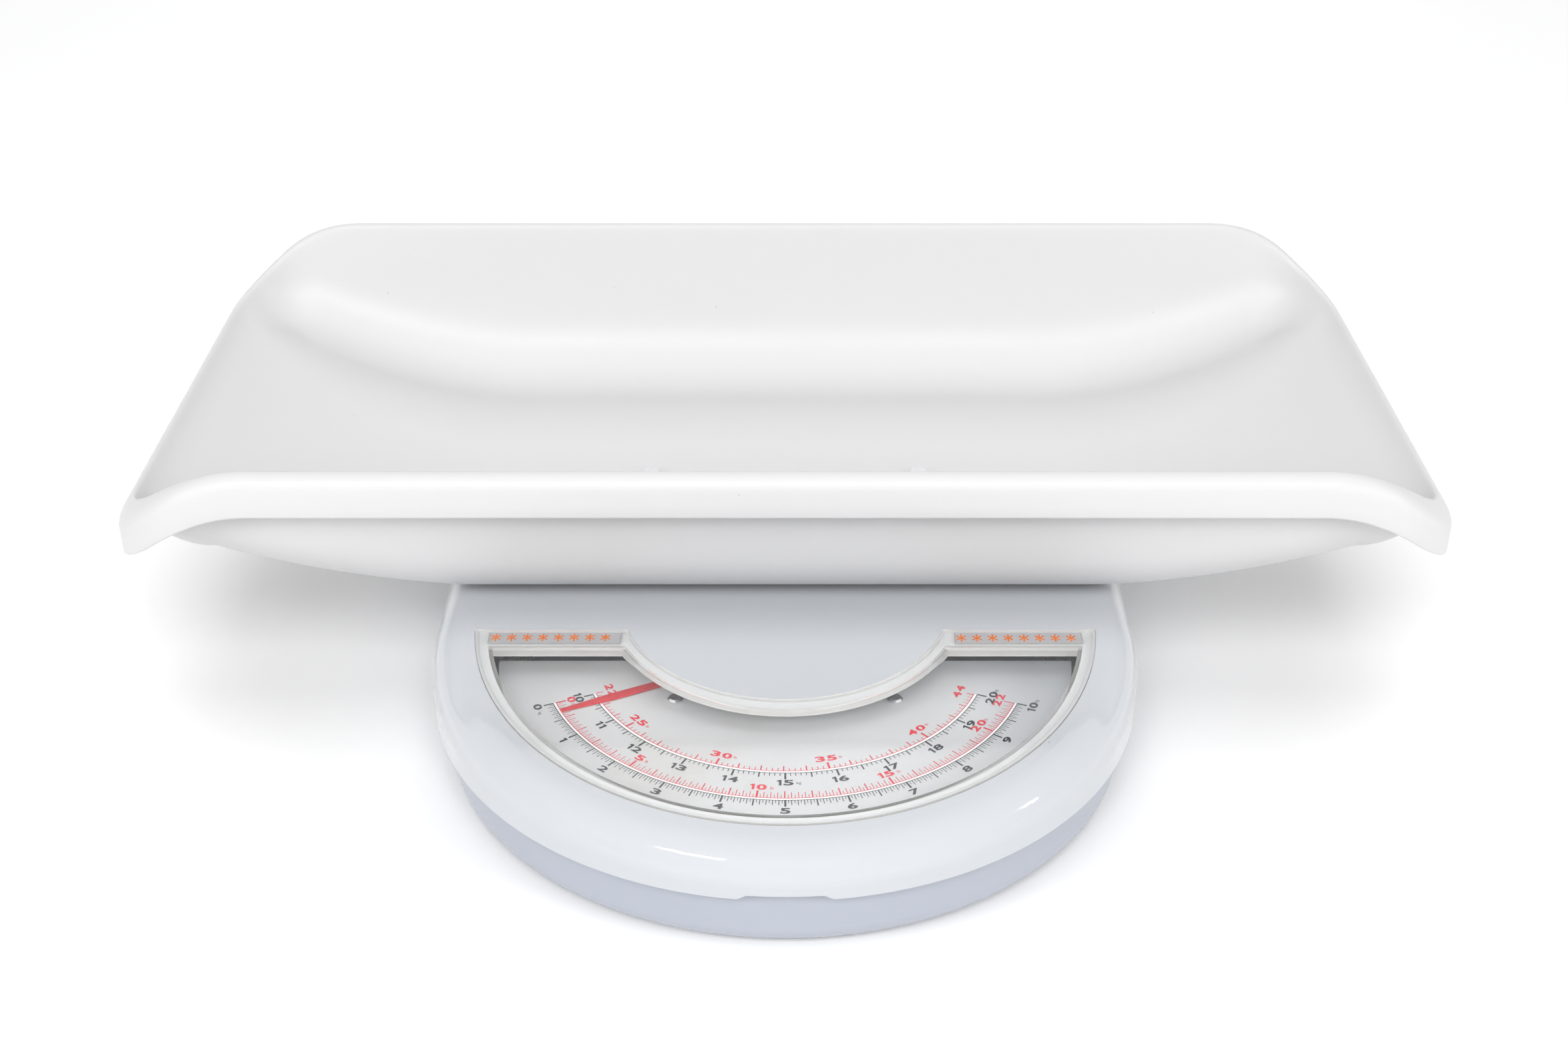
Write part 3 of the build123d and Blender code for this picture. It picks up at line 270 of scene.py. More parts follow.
# One material for each slot of the record: light and dark tone, then the roughness's range
MATERIALS = {
    "tray_white": plastic("tray_white", (0.622, 0.620, 0.626), (0.608, 0.606, 0.612), 0.29, 0.38),
    "cover_white": plastic(
        "cover_white", (0.53, 0.548, 0.574), (0.52, 0.538, 0.565), 0.08, 0.13, coat=0.5
    ),
    "pan_grey": plastic("pan_grey", (0.40, 0.425, 0.485), (0.385, 0.41, 0.47), 0.16, 0.24),
    "seat_white": plastic("seat_white", (0.74, 0.76, 0.80), (0.71, 0.73, 0.77), 0.4, 0.5),
    "lens_clear": clear_acrylic(),
    "dial_silver": dial_metal(),
    "pointer_red": ink("pointer_red", (0.50, 0.036, 0.044)),
    "zinc_screw": metal("zinc_screw", (0.93, 0.93, 0.94), (0.84, 0.85, 0.86), 0.16, 0.26),
    "bright_steel": metal("bright_steel", (0.74, 0.74, 0.75), (0.6, 0.6, 0.61), 0.18, 0.265),
    "plated_steel": metal("plated_steel", (0.66, 0.67, 0.66), (0.52, 0.53, 0.52), 0.32, 0.48),
    "spring_steel": metal("spring_steel", (0.5, 0.51, 0.53), (0.4, 0.41, 0.42), 0.285, 0.4),
    "brass": metal("brass", (0.83, 0.65, 0.32), (0.7, 0.52, 0.24), 0.285, 0.38),
    "wheel_plastic": plastic("wheel_plastic", (0.72, 0.75, 0.79), (0.69, 0.72, 0.76), 0.35, 0.5),
    "foot_rubber": rubber("foot_rubber", (0.06, 0.06, 0.062), (0.03, 0.03, 0.032)),
}
BLACK_INK = ink("black_ink", (0.035, 0.04, 0.045))
RED_INK = ink("red_ink", (0.60, 0.035, 0.055))
ORANGE_INK = ink("orange_ink", (0.62, 0.145, 0.012))
WHITE_INK = ink("white_ink", (0.86, 0.86, 0.87))
LABEL_GREY = plastic("label_grey", (0.45, 0.455, 0.47), (0.36, 0.365, 0.38), 0.3, 0.4)
LABEL_EDGE = ink("label_edge", (0.30, 0.29, 0.28))


def dress_solids():
    """Each solid of the part gets the material of its slot."""
    for entry in frame["record"]["subparts"]:
        node = frame["nodes"][entry["node"]]
        node.data.materials.clear()
        node.data.materials.append(MATERIALS[entry["material_slot"]])


# Shared tools

def on_dial(radius, degrees):
    """A point of the dial plate, radius in mm, degrees to the right of the front."""
    turn = math.radians(degrees)
    return (DIAL_X + radius * MM * math.sin(turn), DIAL_Y - radius * MM * math.cos(turn))


def mesh_object(name, vertices, faces, material, smooth=False):
    """A new piece of the scene with one material."""
    mesh = bpy.data.meshes.new(name)
    mesh.from_pydata(vertices, [], faces)
    mesh.update()
    for polygon in mesh.polygons:
        polygon.use_smooth = smooth
    mesh.materials.append(material)
    piece = bpy.data.objects.new(name, mesh)
    bpy.context.scene.collection.objects.link(piece)
    return piece


class Print:
    """Flat ink shapes gathered into one mesh, a hair above a plane."""

    ARC_STEPS = 180

    def __init__(self, z):
        self.z = z
        self.vertices = []
        self.faces = []

    def add(self, vertices, faces):
        """Shapes that are already in place."""
        first = len(self.vertices)
        self.vertices += vertices
        self.faces += [tuple(first + i for i in face) for face in faces]

    def polygon(self, points):
        """One shape from its outline, in metres."""
        self.add([(x, y, self.z) for x, y in points], [tuple(range(len(points)))])

    def tick(self, start, end, degrees, width):
        """A radial mark from one radius to another."""
        x0, y0 = on_dial(start, degrees)
        x1, y1 = on_dial(end, degrees)
        length = math.hypot(x1 - x0, y1 - y0)
        side_x = -(y1 - y0) / length * width * MM / 2
        side_y = (x1 - x0) / length * width * MM / 2
        corners = [(x0 + side_x, y0 + side_y), (x1 + side_x, y1 + side_y)]
        corners += [(x1 - side_x, y1 - side_y), (x0 - side_x, y0 - side_y)]
        if start < end:
            corners.reverse()
        self.polygon(corners)

    def arc(self, radius, width, start, end):
        """A ring line from one angle to another."""
        low, high = radius - width / 2, radius + width / 2
        for step in range(self.ARC_STEPS):
            a = start + (end - start) * step / self.ARC_STEPS
            b = start + (end - start) * (step + 1) / self.ARC_STEPS
            self.polygon([on_dial(low, a), on_dial(high, a), on_dial(high, b), on_dial(low, b)])

    def build(self, name, material, body):
        """The gathered shapes as one piece that rides a body."""
        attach(mesh_object(name, self.vertices, self.faces, material), body)


# The dial's print, in millimetres from its axis and degrees from the front

FULL_HALF_SWEEP = 67.93
KG_SPAN, LB_SPAN = 10, 22                # the weights that one scale covers
DEG_PER_KG = 2 * FULL_HALF_SWEEP / KG_SPAN
KG_PER_LB = 0.45359
PRINT_LIFT = 0.04
NUMBER_SIZE = 3.4
UNIT_SIZE = 1.5

# Tick lengths and widths go from the finest mark to the heaviest. A unit stands at a radius
# and some degrees past its number, further past a number of two digits.
OUTER_SCALE = {
    "base": 0, "kg_arc": 100.0, "lb_arc": 98.8, "per_kg": 20, "per_lb": 8,
    "kg_ticks": (1.9, 3.0, 3.9, 3.9), "lb_ticks": (2.0, 3.5, 4.2, 4.2),
    "kg_numbers": 106.4, "lb_numbers": 92.4, "pounds": (0, 5, 10, 15, 20, 22),
    "kg_units": (0, 10), "kg_unit": (106.9, 2.4), "lb_unit": (92.8, 2.2, 3.2),
}
INNER_SCALE = {
    "base": 10, "kg_arc": 83.3, "lb_arc": 82.0, "per_kg": 10, "per_lb": 4,
    "kg_ticks": (1.8, 1.8, 2.95, 3.85), "lb_ticks": (1.8, 1.8, 2.95, 3.75),
    "kg_numbers": 89.3, "lb_numbers": 75.7, "pounds": (22, 25, 30, 35, 40, 44),
    "kg_units": (15, 20), "kg_unit": (89.8, 3.3), "lb_unit": (75.9, 4.3, 4.3),
}
KG_WIDTHS = (0.26, 0.32, 0.54, 0.78)
LB_WIDTHS = (0.26, 0.3, 0.48, 0.82)
KG_ARC_WIDTH, LB_ARC_WIDTH, WHITE_ARC_WIDTH = 0.34, 0.32, 1.2

CAP_HEIGHT = 0.7                         # of the built-in font, for a size of one
DIGIT_WIDTH = 1.14                       # a digit is one high
DIGIT_GAP = 0.22
DIGIT_BOLD = 0.05
ONE = [(0.22, 0.0), (0.51, 0.0), (0.51, 1.0), (0.27, 1.0), (0.0, 0.84), (0.0, 0.66), (0.22, 0.74)]
GLYPHS = {"1": (ONE, [tuple(range(len(ONE)))], 0.51)}


def lettering(text, size, bold):
    """A short text as flat points and faces about its own centre."""
    curve = bpy.data.curves.new("lettering", "FONT")
    curve.body = text
    curve.size = size / CAP_HEIGHT
    curve.align_x = "CENTER"
    curve.fill_mode = "FRONT"
    curve.offset = bold * size
    curve.resolution_u = 4
    holder = bpy.data.objects.new("lettering", curve)
    bpy.context.scene.collection.objects.link(holder)
    bpy.context.view_layer.update()
    shaped = holder.evaluated_get(bpy.context.evaluated_depsgraph_get())
    mesh = bpy.data.meshes.new_from_object(shaped)
    points = [(vertex.co.x, vertex.co.y) for vertex in mesh.vertices]
    faces = [tuple(polygon.vertices) for polygon in mesh.polygons]
    bpy.data.objects.remove(holder)
    bpy.data.curves.remove(curve)
    bpy.data.meshes.remove(mesh)
    middle_x = (min(x for x, y in points) + max(x for x, y in points)) / 2
    middle_y = (min(y for x, y in points) + max(y for x, y in points)) / 2
    return [(x - middle_x, y - middle_y) for x, y in points], faces


def glyph(mark):
    """A wide bold digit one unit high: its points, faces and width."""
    if mark not in GLYPHS:
        points, faces = lettering(mark, 1.0, DIGIT_BOLD)
        left, right = min(x for x, y in points), max(x for x, y in points)
        low, high = min(y for x, y in points), max(y for x, y in points)
        points = [
            ((x - left) / (right - left) * DIGIT_WIDTH, (y - low) / (high - low))
            for x, y in points
        ]
        GLYPHS[mark] = (points, faces, DIGIT_WIDTH)
    return GLYPHS[mark]


def place_on_dial(sheet, points, faces, radius, degrees):
    """Flat shapes, in mm about a point of the dial, with their top towards its axis."""
    centre_x, centre_y = on_dial(radius, degrees)
    turn = math.radians(degrees)
    placed = []
    for x, y in points:
        across, up = x * MM, y * MM
        placed.append((
            centre_x + across * math.cos(turn) - up * math.sin(turn),
            centre_y + across * math.sin(turn) + up * math.cos(turn),
            sheet.z,
        ))
    sheet.add(placed, faces)


def dial_unit(sheet, text, radius, degrees):
    """A small kg or lb."""
    points, faces = lettering(text, UNIT_SIZE, 0.0)
    place_on_dial(sheet, points, faces, radius, degrees)


def dial_number(sheet, number, radius, degrees):
    """A number in wide bold digits."""
    marks = [glyph(mark) for mark in str(number)]
    span = sum(width for _, _, width in marks) + DIGIT_GAP * (len(marks) - 1)
    pen = -span / 2
    for points, faces, width in marks:
        local = [((x + pen) * NUMBER_SIZE, (y - 0.5) * NUMBER_SIZE) for x, y in points]
        place_on_dial(sheet, local, faces, radius, degrees)
        pen += width + DIGIT_GAP


def dial_angle(kg, base):
    """Degrees from the front for a weight on the scale that starts at base."""
    return -FULL_HALF_SWEEP + DEG_PER_KG * (kg - base)


def print_marks(black, red, scale):
    """One pair of scales: kilogram ticks outside the arcs, pound ticks inside them."""
    base, per_kg, per_lb = scale["base"], scale["per_kg"], scale["per_lb"]
    kg_arc, lb_arc = scale["kg_arc"], scale["lb_arc"]
    for step in range(KG_SPAN * per_kg + 1):
        if step % per_kg == 0:
            grade = 3
        elif step * 2 % per_kg == 0:
            grade = 2
        elif step * 10 % per_kg == 0:
            grade = 1
        else:
            grade = 0
        end = kg_arc + scale["kg_ticks"][grade]
        black.tick(kg_arc, end, dial_angle(base + step / per_kg, base), KG_WIDTHS[grade])
    low_lb = round(base / KG_PER_LB)
    for step in range(LB_SPAN * per_lb + 1):
        pounds = low_lb + step / per_lb
        if step % per_lb == 0 and round(pounds) % 5 == 0:
            grade = 3
        elif step % per_lb == 0:
            grade = 2
        elif step * 4 % per_lb == 0:
            grade = 1
        else:
            grade = 0
        end = lb_arc - scale["lb_ticks"][grade]
        red.tick(lb_arc, end, dial_angle(pounds * KG_PER_LB, base), LB_WIDTHS[grade])
    black.arc(kg_arc, KG_ARC_WIDTH, -FULL_HALF_SWEEP, FULL_HALF_SWEEP)
    red.arc(lb_arc, LB_ARC_WIDTH, -FULL_HALF_SWEEP, FULL_HALF_SWEEP)


def print_numbers(black, red, scale):
    """The numbers of one pair of scales, some with their unit after them."""
    base = scale["base"]
    for kg in range(base, base + KG_SPAN + 1):
        dial_number(black, kg, scale["kg_numbers"], dial_angle(kg, base))
    unit_radius, past = scale["kg_unit"]
    for kg in scale["kg_units"]:
        dial_unit(black, "kg", unit_radius, dial_angle(kg, base) + past)
    unit_radius, past_one_digit, past_two_digits = scale["lb_unit"]
    for pounds in scale["pounds"]:
        degrees = dial_angle(pounds * KG_PER_LB, base)
        dial_number(red, pounds, scale["lb_numbers"], degrees)
        if pounds % 5 == 0:
            past = past_one_digit if pounds < 10 else past_two_digits
            dial_unit(red, "lb", unit_radius, degrees + past)


def print_dial():
    """Both pairs of scales as black and red ink, with a white line between their arcs."""
    black = Print(DIAL_Z + PRINT_LIFT * MM)
    red = Print(DIAL_Z + PRINT_LIFT * MM)
    white = Print(DIAL_Z + 0.5 * PRINT_LIFT * MM)
    for scale in (OUTER_SCALE, INNER_SCALE):
        print_marks(black, red, scale)
        print_numbers(black, red, scale)
        between = (scale["kg_arc"] + scale["lb_arc"]) / 2
        white.arc(between, WHITE_ARC_WIDTH, -FULL_HALF_SWEEP, FULL_HALF_SWEEP)
    white.build("dial_print_white", WHITE_INK, "base")
    black.build("dial_print_black", BLACK_INK, "base")
    red.build("dial_print_red", RED_INK, "base")


# The trough, in millimetres from its own centre, from the table up

SKIN_GAP = 0.02                          # how far the skin stays inside the solid's box
OUT_LENGTH, OUT_WIDTH, OUT_CORNER = 272.0 - SKIN_GAP, 133.0 - SKIN_GAP, 40.0
IN_LENGTH, IN_WIDTH, IN_CORNER = 273.75, 126.0, 42.0
CREST = 131.0 - SKIN_GAP
WALL = 2.5
ROLL, INNER_ROLL = 5.5, 1.7              # the rolled rim's radius outside and inside
FLANGE = 18.0
DRAFT = math.radians(15)
FLOOR_Z = 59.7
FLOOR_FILLET, RAMP_FILLET = 35.0, 26.0
DIP_START, DIP_RADIUS, DIP_ANGLE = 210.0, 60.0, math.radians(38.66)
RAMP_START, KNEE_RADIUS, KNEE_ANGLE, RAMP_RADIUS = 129.0, 120.0, math.radians(5.7), 340.0
SKELETON = 139.0                         # half the middle line that the basin closes on
EDGE_BLEND = 3.0                         # softens the edge between rim and basin

# How the skin is divided
TRAY_STEPS = 560
BASIN_START = 8.5
UNDER_INSETS = (8.5, 7.0, 6.0, 5.0, 4.2)
UPPER_INSETS = (6.0, 6.5, 7.0, 7.5, 8.0)
FLANGE_INSIDE, FLANGE_OUTSIDE = (5.5, 11.0), (12.0, 9.0)
FIRST_STRIDE, STRIDE_GROWTH, LONGEST_STRIDE, LAST_SHARE = 0.004, 1.09, 0.045, 0.985
WELD_REACH, SLIVER = 0.01 * MM, 0.001 * MM


def crest_height(x):
    """Height of the rim, which dips towards both ends."""
    past = abs(x) - DIP_START
    if past <= 0:
        return CREST
    if past <= DIP_RADIUS * math.sin(DIP_ANGLE):
        return CREST - DIP_RADIUS + math.sqrt(DIP_RADIUS ** 2 - past ** 2)
    drop = DIP_RADIUS * (1 - math.cos(DIP_ANGLE))
    return CREST - drop - (past - DIP_RADIUS * math.sin(DIP_ANGLE)) * math.tan(DIP_ANGLE)


def floor_height(x):
    """Height and slope of the floor, which curves up into a ramp at both ends."""
    past = abs(x) - RAMP_START
    if past <= 0:
        return FLOOR_Z, 0.0
    knee_reach = KNEE_RADIUS * math.sin(KNEE_ANGLE)
    if past <= knee_reach:
        rise = KNEE_RADIUS - math.sqrt(KNEE_RADIUS ** 2 - past ** 2)
        return FLOOR_Z + rise, past / KNEE_RADIUS
    height = FLOOR_Z + KNEE_RADIUS * (1 - math.cos(KNEE_ANGLE))
    across = past - knee_reach + RAMP_RADIUS * math.sin(KNEE_ANGLE)
    across = min(across, 0.95 * RAMP_RADIUS)
    depth = math.sqrt(RAMP_RADIUS ** 2 - across ** 2)
    return height + RAMP_RADIUS * math.cos(KNEE_ANGLE) - depth, across / depth


def basin_height(x, y, outset):
    """The basin's surface: drafted walls filleted into the floor and ramps."""
    past_x = abs(x) - (IN_LENGTH - IN_CORNER)
    past_y = abs(y) - (IN_WIDTH - IN_CORNER)
    reach = math.hypot(max(past_x, 0), max(past_y, 0))
    inward = IN_CORNER - reach - min(max(past_x, past_y), 0) + outset / math.cos(DRAFT)
    if reach > 0:
        outward_x = max(past_x, 0) / reach
    else:
        outward_x = 1.0 if past_x > past_y else 0.0
    height, slope = floor_height(x)
    height -= outset
    slope *= outward_x
    steep = 1 / math.tan(DRAFT)
    radius = FLOOR_FILLET - (FLOOR_FILLET - RAMP_FILLET) * outward_x + outset
    tilt = math.atan(slope)
    turn = math.pi / 2 - DRAFT - tilt
    # outward distance from here to the corner where the wall meets the floor
    wall_here = CREST - inward * steep
    corner = (height - wall_here) / (steep - slope)
    tangent = radius * math.tan(turn / 2)
    floor_end = corner - tangent * math.cos(tilt)
    wall_start = corner + tangent * math.sin(DRAFT)
    if floor_end >= 0:
        return height
    if wall_start <= 0:
        return wall_here
    centre_n = floor_end - radius * math.sin(tilt)
    centre_z = height + slope * floor_end + radius * math.cos(tilt)
    return centre_z - math.sqrt(max(radius ** 2 - centre_n ** 2, 0))


def smooth_min(a, b, width):
    """The lower of two heights, with the change between them rounded."""
    gap = max(width - abs(a - b), 0) / width
    return min(a, b) - gap * gap * width / 4


def outline_point(step, inset):
    """A point of the trough's outline, from the right end's middle round, moved inwards."""
    straight_x = OUT_LENGTH - OUT_CORNER
    straight_y = OUT_WIDTH - OUT_CORNER
    bend = math.pi / 2 * OUT_CORNER
    place = 4 * (straight_x + straight_y + bend) * step / TRAY_STEPS
    legs = (
        straight_y, bend, 2 * straight_x, bend, 2 * straight_y,
        bend, 2 * straight_x, bend, straight_y,
    )
    for leg, length in enumerate(legs):
        if place <= length or leg == 8:
            break
        place -= length
    quarter = (leg % 8) // 2
    if leg % 2:
        angle = math.pi / 2 * quarter + place / OUT_CORNER
        centre_x = straight_x * (1 if quarter in (0, 3) else -1)
        centre_y = straight_y * (1 if quarter in (0, 1) else -1)
        way = (math.cos(angle), math.sin(angle))
        at = (centre_x + OUT_CORNER * way[0], centre_y + OUT_CORNER * way[1])
    elif leg in (0, 8):
        way = (1, 0)
        at = (OUT_LENGTH, place if leg == 0 else place - straight_y)
    elif leg == 2:
        way = (0, 1)
        at = (straight_x - place, OUT_WIDTH)
    elif leg == 4:
        way = (-1, 0)
        at = (-OUT_LENGTH, straight_y - place)
    else:
        way = (0, -1)
        at = (-straight_x + place, -OUT_WIDTH)
    return (at[0] - inset * way[0], at[1] - inset * way[1])


def basin_shares():
    """Steps from the rim to the middle line, short at first and longer later."""
    shares = []
    share = 0.0
    stride = FIRST_STRIDE
    while share < LAST_SHARE:
        share += stride
        stride = min(stride * STRIDE_GROWTH, LONGEST_STRIDE)
        shares.append(min(share, 1.0))
    return shares + [1.0]


def make_tray():
    """The trough as one smooth skin: underside, rim, flange, rolled edge and basin."""
    rings = []

    def rim_ring(inset, drop):
        """A ring of the rim, moved inwards from the outline and down from its crest."""
        places = [outline_point(step, inset) for step in range(TRAY_STEPS)]
        rings.append([(x, y, crest_height(x) - drop) for x, y in places])

    def basin_ring(share, start, outset):
        """A ring of the basin, at a share of the way from start to the middle line."""
        places = []
        for step in range(TRAY_STEPS):
            x, y = outline_point(step, start)
            middle = max(-SKELETON, min(SKELETON, x))
            x, y = x + (middle - x) * share, y * (1 - share)
            top = crest_height(x) - outset
            places.append((x, y, smooth_min(top, basin_height(x, y, outset), EDGE_BLEND)))
        rings.append(places)

    shares = basin_shares()
    for share in reversed(shares):
        basin_ring(share, BASIN_START, WALL)
    for inset in UNDER_INSETS:
        basin_ring(0.0, inset, WALL)
    for bend in (30, 60):
        turn = math.radians(bend)
        rim_ring(
            WALL + INNER_ROLL * (1 - math.sin(turn)), WALL + INNER_ROLL * (1 - math.cos(turn))
        )
    for drop in FLANGE_INSIDE:
        rim_ring(WALL, drop)
    for bend in range(0, 181, 30):
        turn = math.radians(bend)
        rim_ring(
            WALL / 2 + WALL / 2 * math.cos(turn), FLANGE - WALL / 2 + WALL / 2 * math.sin(turn)
        )
    for drop in FLANGE_OUTSIDE:
        rim_ring(0.0, drop)
    for bend in range(0, 91, 9):
        turn = math.radians(bend)
        rim_ring(ROLL * (1 - math.cos(turn)), ROLL * (1 - math.sin(turn)))
    for inset in UPPER_INSETS:
        basin_ring(0.0, inset, 0.0)
    for share in shares:
        basin_ring(share, BASIN_START, 0.0)
    vertices = []
    for places in rings:
        vertices += [(x * MM, TRAY_Y + y * MM, z * MM) for x, y, z in places]
    faces = []
    for row in range(len(rings) - 1):
        a = row * TRAY_STEPS
        b = a + TRAY_STEPS
        for step in range(TRAY_STEPS):
            after = (step + 1) % TRAY_STEPS
            faces.append((a + step, b + step, b + after, a + after))
    tray = mesh_object("tray_skin", vertices, faces, MATERIALS["tray_white"], smooth=True)
    # the basin's last ring lies on the middle line, so its two sides are welded there
    shape = bmesh.new()
    shape.from_mesh(tray.data)
    bmesh.ops.remove_doubles(shape, verts=shape.verts, dist=WELD_REACH)
    bmesh.ops.dissolve_degenerate(shape, edges=shape.edges, dist=SLIVER)
    shape.to_mesh(tray.data)
    shape.free()
    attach(tray, "platform")
    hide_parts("tray")


# The pointer, in millimetres from its own axis and up from the plate

POINTER_REST = -64.2                     # degrees from the front with an empty tray
FULL_SWEEP = 271.74                      # degrees for the full load
TIP_GAP = 1.0                            # how far a blade's tip stays inside its arc
BLADE_THICK, BLADE_CROWN = 0.45, 0.12
BLADE_ROOT = (                           # distance, half width, height of the underside
    (3.0, 1.9, 2.7), (30.0, 1.95, 2.6), (42.0, 2.0, 2.1),
    (48.0, 2.05, 1.75), (54.0, 2.1, 0.8), (58.0, 2.15, 0.5),
)
BLADE_TIP = ((0.78, 2.3, 0.35), (1.0, 0.95, 0.35))      # the same, from a share of the length
BLADE_SECTION = (                        # side as a share of the half width, lift
    (-1.0, 0.0), (-1.0, BLADE_THICK * 0.6), (-0.88, BLADE_THICK),
    (0.0, BLADE_THICK + BLADE_CROWN),
    (0.88, BLADE_THICK), (1.0, BLADE_THICK * 0.6), (1.0, 0.0),
)
COLLAR = ((3.7, 2.6), (3.7, 3.3), (5.8, 3.3), (6.0, 3.1), (6.0, 2.6))    # radius, height
COLLAR_STEPS = 48


def make_pointer():
    """A long blade and a short one on a collar, cranked down to run close over the plate."""
    vertices = []
    faces = []
    sides = len(BLADE_SECTION)
    for arc, degrees in (
        (OUTER_SCALE["kg_arc"], POINTER_REST),
        (INNER_SCALE["kg_arc"], POINTER_REST - FULL_SWEEP / 2),
    ):
        first = len(vertices)
        turn = math.radians(degrees)
        along_x, along_y = math.sin(turn), -math.cos(turn)
        line = list(BLADE_ROOT)
        line += [(share * (arc - TIP_GAP), half, low) for share, half, low in BLADE_TIP]
        for distance, half, low in line:
            for side, lift in BLADE_SECTION:
                x = along_x * distance - along_y * half * side
                y = along_y * distance + along_x * half * side
                vertices.append((DIAL_X + x * MM, DIAL_Y + y * MM, DIAL_Z + (low + lift) * MM))
        for row in range(len(line) - 1):
            for step in range(sides):
                a = first + row * sides + step
                b = first + row * sides + (step + 1) % sides
                faces.append((a, b, b + sides, a + sides))
        last = first + (len(line) - 1) * sides
        faces.append(tuple(first + step for step in reversed(range(sides))))
        faces.append(tuple(last + step for step in range(sides)))
    first = len(vertices)
    for radius, lift in COLLAR:
        for step in range(COLLAR_STEPS):
            x, y = on_dial(radius, 360 * step / COLLAR_STEPS)
            vertices.append((x, y, DIAL_Z + lift * MM))
    for row in range(len(COLLAR)):
        a = first + row * COLLAR_STEPS
        b = first + (row + 1) % len(COLLAR) * COLLAR_STEPS
        for step in range(COLLAR_STEPS):
            after = (step + 1) % COLLAR_STEPS
            faces.append((a + step, a + after, b + after, b + step))
    blade = mesh_object("pointer_blade", vertices, faces, MATERIALS["pointer_red"])
    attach(blade, "pointer_shaft")
    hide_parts("pointer")


# The cover's roof and the lens in its window, in millimetres from the dial's axis

ROOF_TOP = 56.0
CREASE_Y = -11.0
SLOPE = math.radians(4)
CREASE_BLEND = 150.0
LENS_SHAPE = (126.4, -10.1, 68.1)        # outer radius, back edge, tongue radius
WINDOW_SHAPE = (121.3, -19.2, 72.2)
TONGUE_Y = 13.0
RIDGE = 1.6                              # width of the raised ridge round the edge
PANE_UNDER = -1.9                        # the pane's underside, from the roof
HANG = 4.0                               # the wall's depth at the straight edges
RIM_DEEPER, TONGUE_LESS = 1.0, 1.6       # and what changes away from them
HANG_THICK, FLARE = 1.6, 1.5             # its thickness, and the taper added at the rim
END_SHARE = 0.08                         # the share of its length that the change takes
LENS_LONG, LENS_SHORT = 220, 14          # steps along the half-moon and across it
LENS_WELD = 0.002 * MM
LENS_SHARP = math.radians(38)


def roof_height(y):
    """Height of the roof: flat, then a soft crease, then a gentle slope to the front."""
    start = CREASE_Y + CREASE_BLEND * math.tan(SLOPE / 2)
    past = start - y
    if past <= 0:
        return ROOF_TOP
    if past <= CREASE_BLEND * math.sin(SLOPE):
        return ROOF_TOP - CREASE_BLEND + math.sqrt(CREASE_BLEND ** 2 - past ** 2)
    return (
        ROOF_TOP - CREASE_BLEND * (1 - math.cos(SLOPE))
        - (past - CREASE_BLEND * math.sin(SLOPE)) * math.tan(SLOPE)
    )


def moon_point(shape, inset, along, across):
    """A point of the half-moon: along it from left to right, across it from rim to tongue."""
    radius = shape[0] - inset
    back = shape[1] - inset
    tongue = shape[2] + inset
    outer_start = math.asin(back / radius)
    outer = -math.pi - outer_start + (math.pi + 2 * outer_start) * along
    inner_start = math.asin((back - TONGUE_Y) / tongue)
    inner = -math.pi - inner_start + (math.pi + 2 * inner_start) * along
    x0, y0 = radius * math.cos(outer), radius * math.sin(outer)
    x1, y1 = tongue * math.cos(inner), TONGUE_Y + tongue * math.sin(inner)
    return (x0 + (x1 - x0) * across, y0 + (y1 - y0) * across)


def off_the_ends(along):
    """Nothing at the half-moon's straight edges, one away from them."""
    near = min(1.0, min(along, 1 - along) / END_SHARE)
    return near * near * (3 - 2 * near)


def hanging_lift(along, across):
    """The lower edge of the wall that hangs into the window."""
    deeper = RIM_DEEPER if across < 0.5 else -TONGUE_LESS
    return PANE_UNDER - HANG - off_the_ends(along) * deeper


def flared_inset(along, across):
    """How far the wall's lower edge stands in from the window, more at the rim."""
    return HANG_THICK + off_the_ends(along) * (FLARE if across < 0.5 else 0)


